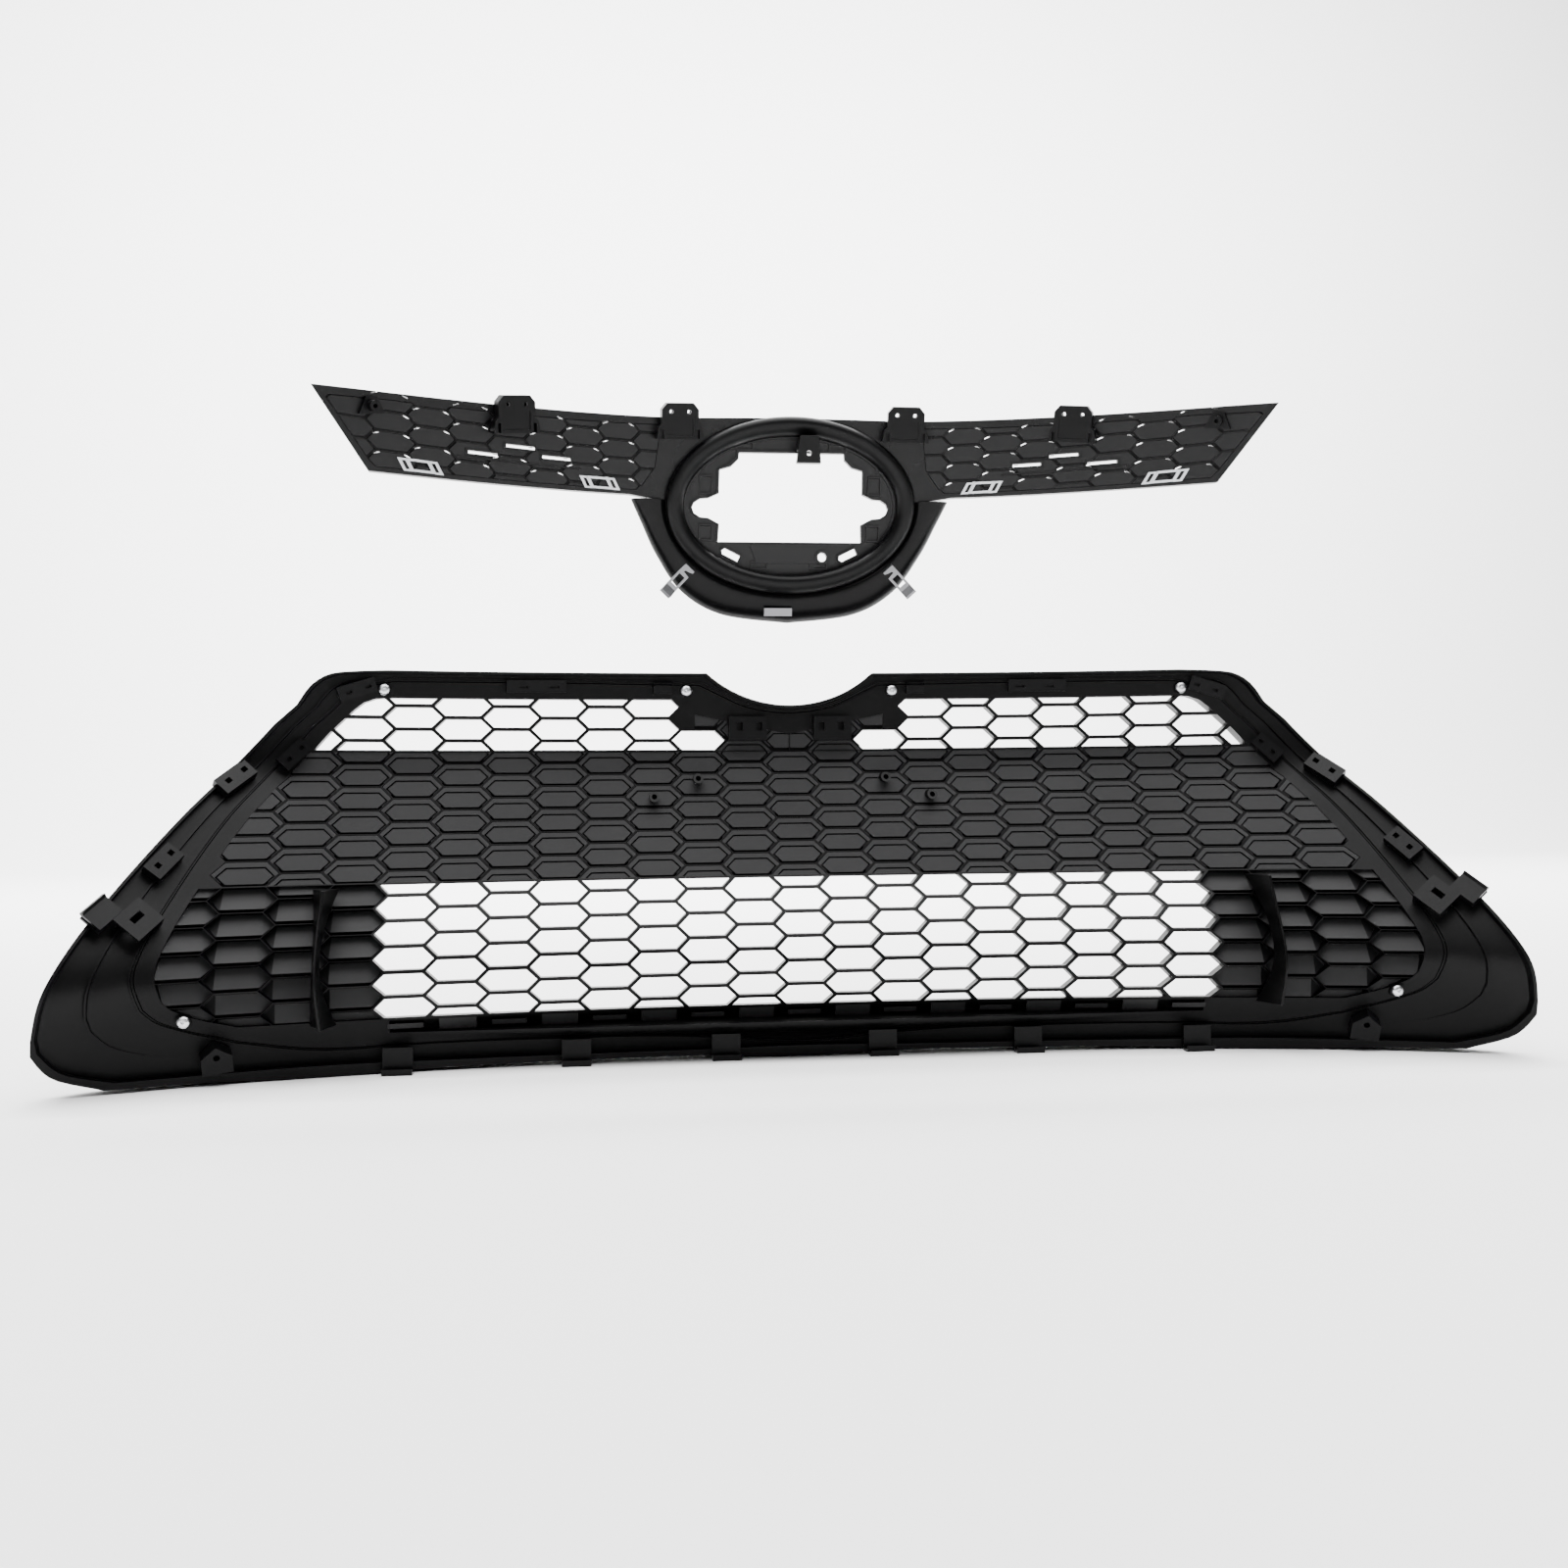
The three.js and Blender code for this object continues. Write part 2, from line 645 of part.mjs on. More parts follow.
// Hood clip on the top edge: a tower with two round holes and rounded shoulders.
function topTowerGeometry() {
  const outline = [
    [-23, -17], [23, -17], [21, -6], [18, -3], [18, 11], [13, 17], [-13, 17], [-18, 11], [-18, -3],
    [-21, -6],
  ];
  const body = slab(outline, 0, 12);
  const cavity = block([-15.5, 2.5, -18], [15.5, 8.5, 13]);
  const recess = block([-13, 10.8, -14], [13, 13, 3]);
  const leg = (x) => block([x - 1.5, 6, -18], [x + 1.5, 13, -8]);
  const hole = (x) => barY(2, -1, 14, x, 9);
  return cut(body, cavity, recess, leg(-17.5), leg(17.5), hole(-8.7), hole(8.7));
}

// Screw boss with a triangular web.
function cornerBossGeometry() {
  const web = slab([[-12, -7], [12, -7], [5, 8], [-5, 8]], 0, 3);
  const tube = barY(5, 0, 11, 0, 0, 12);
  return cut(join(web, tube), barY(2, 1.5, 12, 0, 0, 10));
}

// Hook under the bottom edge.
function bottomHookGeometry(depth) {
  return profileX([
    [0, 3], [0, 24], [-2.5, 24], [-2.5, 0], [depth, 0], [depth + 3, 6], [depth, 6], [depth - 1, 3],
  ], 27);
}

// Upright blade that guides air past the closed side cells: thin at its waist, wide at its ends.
function airBladeGeometry() {
  const low = 48;
  const high = 168;
  const steps = 6;
  const rings = Array.from({ length: steps + 1 }, (_, i) => {
    const z = low + ((high - low) * i) / steps;
    const t = (2 * i) / steps - 1;
    const waist = 1 - t * t;
    const reach = 40 - 14 * waist;
    const x0 = 437 + 4 * waist;
    const base = Math.max(lowerSurface(x0, z), lowerSurface(x0 + 12, z)) + SEAT;
    const foot = 12 - 8.5 * waist;
    const lean = -3;
    const tip = 1.2;
    return [
      [x0 - foot, base, z], [x0 + foot, base, z],
      [x0 + 0.4 * foot + lean / 2, base + reach / 2, z], [x0 + tip + lean, base + reach, z],
      [x0 - tip + lean, base + reach, z], [x0 - 0.4 * foot + lean / 2, base + reach / 2, z],
    ];
  });
  return strip(rings);
}

// An open run of equal rings with flat ends.
function strip(rings) {
  const size = rings[0].length;
  const indices = [];
  for (let r = 0; r + 1 < rings.length; r += 1) {
    for (let i = 0; i < size; i += 1) {
      const k = (i + 1) % size;
      const [a, b] = [r * size + i, r * size + k];
      indices.push(a, b, a + size, a + size, b, b + size);
    }
  }
  const lastRing = (rings.length - 1) * size;
  for (let i = 1; i + 1 < size; i += 1) {
    indices.push(0, i + 1, i);
    indices.push(lastRing, lastRing + i, lastRing + i + 1);
  }
  return outwards(rawGeometry(rings.flat(2), indices));
}

function wingTowerGeometry() {
  const house = slab([[-13, -11], [13, -11], [13, 5], [0, 15], [-13, 5]], 0, 14);
  const cavity = block([-10, 3, -12], [10, 11, 4]);
  return cut(house, cavity, barY(3, -1, 15, 0, 5, 10));
}

// ---------------------------------------------------------------- upper grille

// Outline of the wings and the plate round the ring, right half from the top middle down.
function upperPanelOutline() {
  const right = [];
  const top = (x) => UPPER_TOP - 10 * (x / 400) ** 1.6;
  const bottom = (x) => UPPER_CORNER[1] + 3 * ((UPPER_CORNER[0] - x) / 234) ** 0.8;
  for (let x = 0; x <= 400; x += 40) right.push([x, top(x)]);
  right.push(UPPER_TIP, UPPER_CORNER);
  for (let x = 360; x >= 160; x -= 40) right.push([x, bottom(x)]);
  const steps = 8;
  const reach = [RING_OUTER[0] + 6, RING_OUTER[1] + 5];
  for (let i = 0; i <= steps; i += 1) {
    const angle = 0.06 - (Math.PI / 2 + 0.06) * (i / steps);
    right.push([reach[0] * Math.cos(angle), RING_CENTRE_Z + reach[1] * Math.sin(angle)]);
  }
  const left = right.slice(1, -1).reverse().map(([x, z]) => [-x, z]);
  return [...right, ...left].reverse();
}

function upperPanelGeometry() {
  const outline = upperPanelOutline();
  const grid = {
    pitchX: UPPER_PITCH_X, pitchZ: UPPER_PITCH_Z, slant: UPPER_SLANT, bar: UPPER_BAR, baseZ: 577,
  };
  const wing = [
    [150, UPPER_BOTTOM + 4], [390, UPPER_CORNER[1] + 4], [427, 600], [375, 603.5], [128, 610],
    [134, 570],
  ];
  const slits = [[296, 568], [262, 577.5], [229, 571]].map(([x, z]) => [
    [x - 13, z - 1.4], [x + 13, z - 1.4], [x + 13, z + 1.4], [x - 13, z + 1.4],
  ]);
  const touchesSlit = (points) => slits.some((slit) => {
    const [x, z] = [(slit[0][0] + slit[1][0]) / 2, (slit[0][1] + slit[2][1]) / 2];
    const near = points.some(([px, pz]) => Math.abs(px - x) < 15 && Math.abs(pz - z) < 3);
    return near || clipToField(points, slit).length > 2;
  });
  const rightCells = cellsIn(wing, grid, 0.5, 60)
    .map(({ points }) => points)
    .filter((points) => !touchesSlit(points));
  const outOfLine = 0.01;
  const flip = (points) => points.map(([x, z]) => [-x, z - outOfLine]).reverse();
  const ringHole = Array.from({ length: 32 }, (_, i) => {
    const angle = (2 * Math.PI * i) / 32;
    return [
      RING_INNER[0] * Math.cos(angle), RING_CENTRE_Z + RING_INNER[1] * Math.sin(angle),
    ];
  });
  return honeycombPlate({
    outline,
    openings: [ringHole],
    open: [...slits, ...slits.map(flip)],
    blind: [...rightCells, ...rightCells.map(flip)],
    depth: UPPER_DEPTH,
    skin: UPPER_SKIN,
    surface: upperSurface,
  });
}

// Thick oval ring with a rounded rear.
function emblemRingGeometry() {
  const steps = 36;
  const middle = [0, 1].map((i) => (RING_OUTER[i] + RING_INNER[i]) / 2);
  const half = (RING_OUTER[0] - RING_INNER[0]) / 2;
  const arch = 4;
  const base = 1;
  const section = [[half, base], [-half, base]];
  for (let i = 0; i <= arch; i += 1) {
    const angle = Math.PI - (Math.PI * i) / arch;
    section.push([half * Math.cos(angle), base + 3 + (RING_DEPTH - 4) * Math.sin(angle)]);
  }
  const rings = Array.from({ length: steps }, (_, i) => {
    const angle = (2 * Math.PI * i) / steps;
    return section.map(([out, depth]) => {
      const x = (middle[0] + out) * Math.cos(angle);
      const z = RING_CENTRE_Z + (middle[1] + out) * Math.sin(angle);
      return [x, depth + upperSurface(x, z), z];
    });
  });
  return loopLoft(rings);
}

// Bracket inside the ring: a plate with the emblem window, two slanted slots and a round hole.
function emblemBaseGeometry() {
  const gap = 0.8;
  const outline = circleOval(RING_INNER[0] - gap, RING_INNER[1] - gap, 36);
  const right = [
    [52, 586], [52.5, 580], [60, 573], [71, 570], [71.5, 548], [82, 543.4], [90, 542.8],
    [96, 539], [98, 534], [96, 529], [90, 525.2], [82, 524.6], [71, 519], [72, 502.4],
  ];
  const left = right.map(([x, z]) => [-x, z]).reverse();
  const window = [...right, ...left].reverse();
  const slot = (side) => {
    const lean = 0.45 * side;
    const along = [Math.cos(lean), Math.sin(lean)];
    const across = [-along[1], along[0]];
    const at = (a, b) => [side * 59 + a * along[0] + b * across[0], 490 + a * along[1] + b * across[1]];
    return [at(-9, -3.2), at(8, -3.2), at(10, 0), at(8, 3.2), at(-9, 3.2)];
  };
  return honeycombPlate({
    outline,
    openings: [window],
    open: [slot(1), slot(-1), circle(-33, 488, 4.4, 12)],
    depth: 4,
    surface: (x, z) => upperSurface(x, z) - 0.5,
  });
}

function circleOval(radiusX, radiusZ, sides) {
  return Array.from({ length: sides }, (_, i) => {
    const angle = (2 * Math.PI * i) / sides;
    return [radiusX * Math.cos(angle), RING_CENTRE_Z + radiusZ * Math.sin(angle)];
  });
}

// U-shaped trim that hangs under the ring: a crescent shell with a rolled rear face.
function lobeGarnishGeometry() {
  const steps = 28;
  const near = [RING_OUTER[0] + 6.6, RING_OUTER[1] + 5.6];
  const outer = new THREE.SplineCurve([
    [158, 541], [148, 520], [133, 490], [107, 455], [66, 433], [0, LOBE_BOTTOM],
  ].map((p) => new THREE.Vector2(...p)));
  const rings = Array.from({ length: steps + 1 }, (_, i) => {
    const t = (i / steps) * 2;
    const side = t <= 1 ? 1 : -1;
    const edge = outer.getPoint(t <= 1 ? t : 2 - t);
    const out = [side * edge.x, edge.y];
    const angle = Math.atan2((out[1] - RING_CENTRE_Z) / near[1], out[0] / near[0]);
    const inner = [near[0] * Math.cos(angle), RING_CENTRE_Z + near[1] * Math.sin(angle)];
    const between = (f) => [
      inner[0] + (out[0] - inner[0]) * f, inner[1] + (out[1] - inner[1]) * f,
    ];
    return [[0, -8], [0, -2], [0.3, 2], [0.75, 1], [1, -5], [1, -8], [0.6, -9]].map(([f, depth]) => {
      const [x, z] = between(f);
      return [x, depth + upperSurface(x, z), z];
    });
  });
  return strip(rings);
}

// ---------------------------------------------------------------- assembly

const lower = new THREE.Group();
const upper = new THREE.Group();

function add(parent, name, geometry, look) {
  const mesh = new THREE.Mesh(indexed(geometry), new THREE.MeshStandardMaterial(look));
  mesh.name = name;
  parent.add(mesh);
  return mesh;
}

// Stands a piece on a surface at (x, z): its own +Y along the surface's rearward normal.
function seat(mesh, surface, x, z, spin = 0, lift = SEAT) {
  const slopeX = surface(x + 1, z) - surface(x - 1, z);
  const slopeZ = surface(x, z + 1) - surface(x, z - 1);
  const normal = new THREE.Vector3(-slopeX / 2, 1, -slopeZ / 2).normalize();
  const across = new THREE.Vector3(1, 0, 0).addScaledVector(normal, -normal.x).normalize();
  const up = new THREE.Vector3().crossVectors(across, normal);
  const basis = new THREE.Matrix4().makeBasis(across, normal, up);
  mesh.quaternion.setFromRotationMatrix(basis);
  mesh.rotateY(spin);
  mesh.position.set(x, surface(x, z), z).addScaledVector(normal, lift);
}

const SIDES = [['left', 1], ['right', -1]];

// Cuts a piece back from the walls it stands on, with a thin gap behind it.
function fitTo(piece, walls) {
  piece.updateMatrix();
  const toPiece = piece.matrix.clone().invert();
  const tools = walls.flatMap((wall) => {
    wall.updateMatrix();
    const tool = wall.geometry.clone().applyMatrix4(wall.matrix).applyMatrix4(toPiece);
    return [tool, tool.clone().translate(0, CLEARANCE, 0)];
  });
  piece.geometry = indexed(biggestBody(cut(piece.geometry, ...tools)));
}

// One piece on each side of the car, the right one mirrored, seated on walls of one surface.
function addPair(parent, name, geometry, look, { surface, walls }, [x, z], spin = 0, lift = SEAT) {
  SIDES.forEach(([side, sign]) => {
    const own = sign > 0 ? geometry : mirrored(geometry);
    const piece = add(parent, `${name}_${side}`, own, look);
    seat(piece, surface, sign * x, z, sign * spin, lift);
    fitTo(piece, walls);
  });
}

function buildLower() {
  const meshPanel = add(lower, 'lower_mesh', lowerMeshGeometry(), satin);
  const frame = add(lower, 'lower_surround', cut(surroundGeometry(), ...screwHoles()), satin);
  const on = { surface: lowerSurface, walls: [meshPanel, frame] };
  bothSides(SCREW_PLACES).forEach(([x, z], i) => {
    const screw = add(lower, `mesh_screw_${i + 1}`, screwGeometry(), zinc);
    screw.position.set(x, lowerSurface(x, z) + SCREW_PAD + CLEARANCE, z);
  });
  const bracketSpin = 0.95;
  addPair(lower, 'side_bracket', slottedBracket(30, 28, 16), matte, on, [585, 141], bracketSpin);
  addPair(lower, 'outer_clip', hookClip(26, 22, 9), matte, on, [613, 149], bracketSpin, 6);
  addPair(lower, 'side_retainer', windowClip(36, 18, 10), matte, on, [524, 266], 0.87);
  addPair(lower, 'rim_clip', windowClip(30, 15, 9), matte, on, [476, 291], 0.8);
  addPair(lower, 'inner_clip', windowClip(32, 18, 10), matte, on, [572, 192], 1.0);
  addPair(lower, 'corner_clip', windowClip(36, 14, 9), matte, on, [420, 354], 0.3);
  addPair(lower, 'top_clip', windowClip(58, 12, 7), matte, on, [252, 359]);
  addPair(lower, 'notch_hook', hookClip(18, 12, 7), matte, on, [128, 358]);
  addPair(lower, 'notch_block', windowClip(38, 24, 10), matte, on, [43, 317]);
  addPair(lower, 'wing_tower', wingTowerGeometry(), matte, on, [527, 27]);
  [75, 215, 375].forEach((x, i) => {
    SIDES.forEach(([side, sign]) => {
      const hook = add(lower, `bottom_hook_${side}_${i + 1}`, bottomHookGeometry(9), matte);
      const back = Math.max(lowerSurface(x - 14, BOTTOM_OUTER), lowerSurface(x + 14, BOTTOM_OUTER));
      hook.position.set(sign * x, back + REAR_LIP + 3.5, 0);
      fitTo(hook, on.walls);
    });
  });
  SIDES.forEach(([side, sign]) => {
    const blade = airBladeGeometry();
    const piece = add(lower, `air_blade_${side}`, sign > 0 ? blade : mirrored(blade), satin);
    fitTo(piece, on.walls);
  });
}

function buildUpper() {
  const panel = add(upper, 'upper_panel', upperPanelGeometry(), satin);
  const ring = add(upper, 'emblem_ring', emblemRingGeometry(), satin);
  fitTo(ring, [panel]);
  add(upper, 'emblem_base', emblemBaseGeometry(), satin);
  add(upper, 'lobe_garnish', lobeGarnishGeometry(), gloss);
  const on = { surface: upperSurface, walls: [panel, ring] };
  addPair(upper, 'tower_clip_outer', topTowerGeometry(), matte, on, [269, 606]);
  addPair(upper, 'tower_clip_inner', topTowerGeometry(), matte, on, [112, 614], 0, 2);
  addPair(upper, 'spring_clip_outer', springClipGeometry(40, 11), spring, on, [350, 550]);
  addPair(upper, 'spring_clip_inner', springClipGeometry(40, 11), spring, on, [188, 552]);
  addPair(upper, 'corner_boss', cornerBossGeometry(), matte, on, [390, 596]);
  addPair(upper, 'lobe_clip', springClipGeometry(40, 12), spring, on, [112, 466], 0.8, 3);
  const centreBlock = block([-14, 0, -4], [14, 5, 4]);
  seat(add(upper, 'lobe_centre_clip', centreBlock, spring), upperSurface, 11, 436, 0, 3);
  const bossPlate = slab([[-12, -14], [12, -14], [9, 12], [-9, 12]], 0, 9);
  const topBoss = add(upper, 'top_centre_clip', cut(bossPlate, barY(2.5, -1, 10, 0, 5, 10)), matte);
  seat(topBoss, upperSurface, -14, 592, 0, 17.5);
}

buildLower();
buildUpper();

// The origin is under the middle of the whole set, on the ground.
const grilleSet = new THREE.Group();
grilleSet.add(lower, upper);
grilleSet.updateMatrixWorld(true);
const bounds = new THREE.Box3().setFromObject(grilleSet, true);
grilleSet.position.set(0, -(bounds.min.y + bounds.max.y) / 2, -bounds.min.z);
const group = new THREE.Group();
group.add(grilleSet);

export default group;
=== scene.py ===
import math

import bpy
import bmesh
from mathutils import Matrix, Vector
from mathutils.geometry import delaunay_2d_cdt


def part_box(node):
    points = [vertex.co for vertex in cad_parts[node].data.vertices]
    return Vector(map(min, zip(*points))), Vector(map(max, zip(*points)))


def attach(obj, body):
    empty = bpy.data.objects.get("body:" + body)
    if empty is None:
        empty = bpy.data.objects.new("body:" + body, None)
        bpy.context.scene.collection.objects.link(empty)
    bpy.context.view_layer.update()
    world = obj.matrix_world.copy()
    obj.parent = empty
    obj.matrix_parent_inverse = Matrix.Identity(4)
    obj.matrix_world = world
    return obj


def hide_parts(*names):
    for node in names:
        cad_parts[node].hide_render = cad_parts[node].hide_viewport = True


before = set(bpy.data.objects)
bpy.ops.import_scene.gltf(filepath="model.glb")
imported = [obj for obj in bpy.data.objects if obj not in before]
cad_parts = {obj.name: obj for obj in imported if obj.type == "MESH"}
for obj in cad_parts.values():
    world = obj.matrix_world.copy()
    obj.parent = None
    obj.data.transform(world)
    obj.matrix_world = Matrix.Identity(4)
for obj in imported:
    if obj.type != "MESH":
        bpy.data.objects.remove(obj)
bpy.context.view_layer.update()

MM = 0.001
FAR = 2000.0

# ---------------------------------------------------------------- driving dimensions (mm)

CELL = {"pitch_x": 46.0, "pitch_z": 22.34, "slant": 11.5, "bar": 3.2, "base_z": 60.0}
UPPER_CELL = {"pitch_x": 34.0, "pitch_z": 16.6, "slant": 8.0, "bar": 2.4, "base_z": 577.0}
MESH_DEPTH = 12.0
BAND_LOW = CELL["base_z"] + 5 * CELL["pitch_z"]
BAND_HIGH = CELL["base_z"] + 10.5 * CELL["pitch_z"]
FIELD_FLOOR = 50.0
OPEN_COLUMNS = 8
NOTCH_CLEAR = 27.0
TEETH_MARGIN = 14.0
NOTCH_RADIUS = 126.0
NOTCH_BOTTOM = 340.0
NOTCH_HALF_WIDTH = 84.0
TOP_OUTER = 372.0
TOP_INNER = 348.0
BOTTOM_OUTER = 8.0
BOTTOM_INNER = 30.0
SHELL = 3.0
FLANGE = 14.0
REAR_LIP = 8.0
CHIN = 30.0
LIP_DROP = 7.2
SEAM = 0.5
LEDGE = FLANGE + 1
RAIL_HEIGHT = 1.4
FOLD_HEIGHT = 3.0
STEP = MESH_DEPTH + 2.0
RING_Z = 535.0
RING_OUTER = (124.0, 82.0)
RING_INNER = (106.0, 67.0)
RING_DEPTH = 15.0
UPPER_DEPTH = 7.0
SCREWS = [(394.0, 354.0), (104.0, 354.8), (547.0, 59.0)]
PLATE_POSTS = [(94.0, 267.0), (138.0, 249.0)]
PLATE_POST_HEIGHT = 13.0
SCREW_PAD = 5.8
BORE = 2.6
BLADE_X = 437.0
BLADE_SPAN = (48.0, 168.0)
LOBE_EDGE = [(158, 541), (148, 520), (133, 490), (107, 455), (66, 433), (0, 425)]
# Depth of the lower grille's middle against height, as (z, y).
LOWER_PROFILE = [(380, 0), (285, 0), (240, 26), (172, 66), (112, 102), (82, 108), (35, 88), (0, 78)]


# ---------------------------------------------------------------- depth surfaces

def profile_depth(z):
    """A smooth curve through the lower profile."""
    points = LOWER_PROFILE
    last = len(points) - 1
    if z >= points[0][0]:
        return points[0][1]
    if z <= points[last][0]:
        return points[last][1]

    def slope(i):
        if i <= 0 or i >= last:
            return 0.0
        return (points[i + 1][1] - points[i - 1][1]) / (points[i + 1][0] - points[i - 1][0])

    i = next(k for k in range(last) if points[k + 1][0] <= z <= points[k][0])
    span = points[i + 1][0] - points[i][0]
    t = (z - points[i][0]) / span
    ease = t * t * (3 - 2 * t)
    bend = span * (slope(i) * t * (1 - t) ** 2 - slope(i + 1) * t * t * (1 - t))
    return points[i][1] * (1 - ease) + points[i + 1][1] * ease + bend


def lower_surface(x, z):
    """Depth of the lower grille: a bow that grows with x and leans back with height."""
    u = (x / 400) ** 2
    lean = 7 * u * (z - CELL["base_z"]) / 300
    return 27 * u + 8 * u * u + lean + profile_depth(z)


def upper_surface(x, z):
    """Depth of the upper grille: flat behind the emblem, swept back along the wings."""
    flat_half, wing_length, wing_sweep = 100, 336, 144
    sweep = max(0.0, abs(x) - flat_half) / wing_length
    return 30 + 0.3 * (z - 540) + wing_sweep * sweep ** 1.5


# Where the frame's depth origin lies in these surfaces, from a screw head of known height.
SCREW_HEAD_REAR = 7.2
DEPTH_ORIGIN = lower_surface(*SCREWS[0]) + SCREW_HEAD_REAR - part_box("mesh_screw_1")[1].y / MM


def to_frame(point):
    x, y, z = point
    return Vector((x * MM, (y - DEPTH_ORIGIN) * MM, z * MM))


# ---------------------------------------------------------------- flat outlines

def signed_area(points):
    pairs = zip(points, points[1:] + points[:1])
    return sum(ax * bz - az * bx for (ax, az), (bx, bz) in pairs) / 2


def anticlockwise(points):
    return list(points) if signed_area(list(points)) > 0 else list(points)[::-1]


def clip_by_line(points, a, b, margin=0.0):
    length = math.dist(a, b)

    def side(p):
        return ((b[0] - a[0]) * (p[1] - a[1]) - (b[1] - a[1]) * (p[0] - a[0])) / length - margin

    kept = []
    for p, q in zip(points, points[1:] + points[:1]):
        here, there = side(p), side(q)
        if here >= 0:
            kept.append(p)
        if here * there < 0:
            t = here / (here - there)
            kept.append((p[0] + t * (q[0] - p[0]), p[1] + t * (q[1] - p[1])))
    return kept


def clip_to_field(points, field, margin=0.0):
    kept = list(points)
    for a, b in zip(field, field[1:] + field[:1]):
        if kept:
            kept = clip_by_line(kept, a, b, margin)
    return kept


def without_tiny_edges(points, shortest=0.8):
    before = points[-1:] + points[:-1]
    return [p for p, q in zip(points, before) if math.dist(p, q) > shortest]


def hexagon(x, z, cell, half_height):
    """A flat-topped cell of the honeycomb, shrunk to a half height."""
    lean = cell["slant"] / (cell["pitch_z"] / 2)
    inset = cell["pitch_z"] / 2 - half_height
    tip = (cell["pitch_x"] + cell["slant"]) / 2 - inset * math.hypot(1, lean)
    shoulder = tip - half_height * lean
    return [
        (x + tip, z), (x + shoulder, z + half_height), (x - shoulder, z + half_height),
        (x - tip, z), (x - shoulder, z - half_height), (x + shoulder, z - half_height),
    ]


def cells_in(field, cell, margin, smallest=90.0):
    """(column, centre, clipped polygon) of every cell that fits in a convex field."""
    reach = math.ceil(max(abs(x) for x, _ in field) / cell["pitch_x"]) + 1
    low = min(z for _, z in field)
    high = max(z for _, z in field)
    found = []
    for column in range(-reach, reach + 1):
        shift = 0.0 if column % 2 == 0 else cell["pitch_z"] / 2
        first = math.floor((low - cell["base_z"]) / cell["pitch_z"]) - 1
        last = math.ceil((high - cell["base_z"]) / cell["pitch_z"]) + 1
        for row in range(first, last + 1):
            centre = (column * cell["pitch_x"], cell["base_z"] + shift + row * cell["pitch_z"])
            whole = hexagon(*centre, cell, cell["pitch_z"] / 2 - cell["bar"] / 2)
            points = without_tiny_edges(clip_to_field(whole, field, margin), 1.5)
            if len(points) > 2 and signed_area(points) > smallest:
                found.append((column, centre, points))
    return found


def oval(radius_x, radius_z, sides, x=0.0, z=RING_Z):
    angles = [math.tau * i / sides for i in range(sides)]
    return [(x + radius_x * math.cos(a), z + radius_z * math.sin(a)) for a in angles]


def rectangle(x0, x1, z0, z1):
    return [(x0, z0), (x1, z0), (x1, z1), (x0, z1)]


def spline(points, t):
    """Catmull-Rom curve through points, t from 0 to 1."""
    last = len(points) - 1
    place = last * t
    i = min(int(place), last)
    w = place - i
    p0 = points[max(i - 1, 0)]
    p1 = points[i]
    p2 = points[min(i + 1, last)]
    p3 = points[min(i + 2, last)]

    def blend(a, b, c, d):
        v0, v1 = (c - a) / 2, (d - b) / 2
        cubic = 2 * b - 2 * c + v0 + v1
        square = -3 * b + 3 * c - 2 * v0 - v1
        return cubic * w ** 3 + square * w * w + v0 * w + b

    return tuple(blend(*values) for values in zip(p0, p1, p2, p3))


# ---------------------------------------------------------------- mesh making

def new_piece(name, points, faces, body, looks, replaces, bevel=0.0, sharp=32.0, painted=()):
    """A piece from points in mm. painted gives each face's index in looks, if there are several."""
    mesh = bpy.data.meshes.new(name)
    mesh.from_pydata([to_frame(p) for p in points], [], faces)
    if painted:
        mesh.polygons.foreach_set("material_index", painted)
    work = bmesh.new()
    work.from_mesh(mesh)
    bmesh.ops.remove_doubles(work, verts=work.verts, dist=1e-6)
    bmesh.ops.dissolve_degenerate(work, edges=work.edges, dist=1e-6)
    bmesh.ops.recalc_face_normals(work, faces=work.faces)
    work.to_mesh(mesh)
    work.free()
    mesh.shade_smooth()
    mesh.set_sharp_from_angle(angle=math.radians(sharp))
    for look in looks if isinstance(looks, tuple) else (looks,):
        mesh.materials.append(look)
    piece = bpy.data.objects.new(name, mesh)
    bpy.context.scene.collection.objects.link(piece)
    if bevel:
        soften(piece, bevel)
    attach(piece, body)
    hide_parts(*replaces)


def soften(piece, width):
    bevel = piece.modifiers.new("edges", "BEVEL")
    bevel.width = width * MM
    bevel.segments = 2
    bevel.limit_method = "ANGLE"
    bevel.angle_limit = math.radians(35)
    bevel.use_clamp_overlap = True


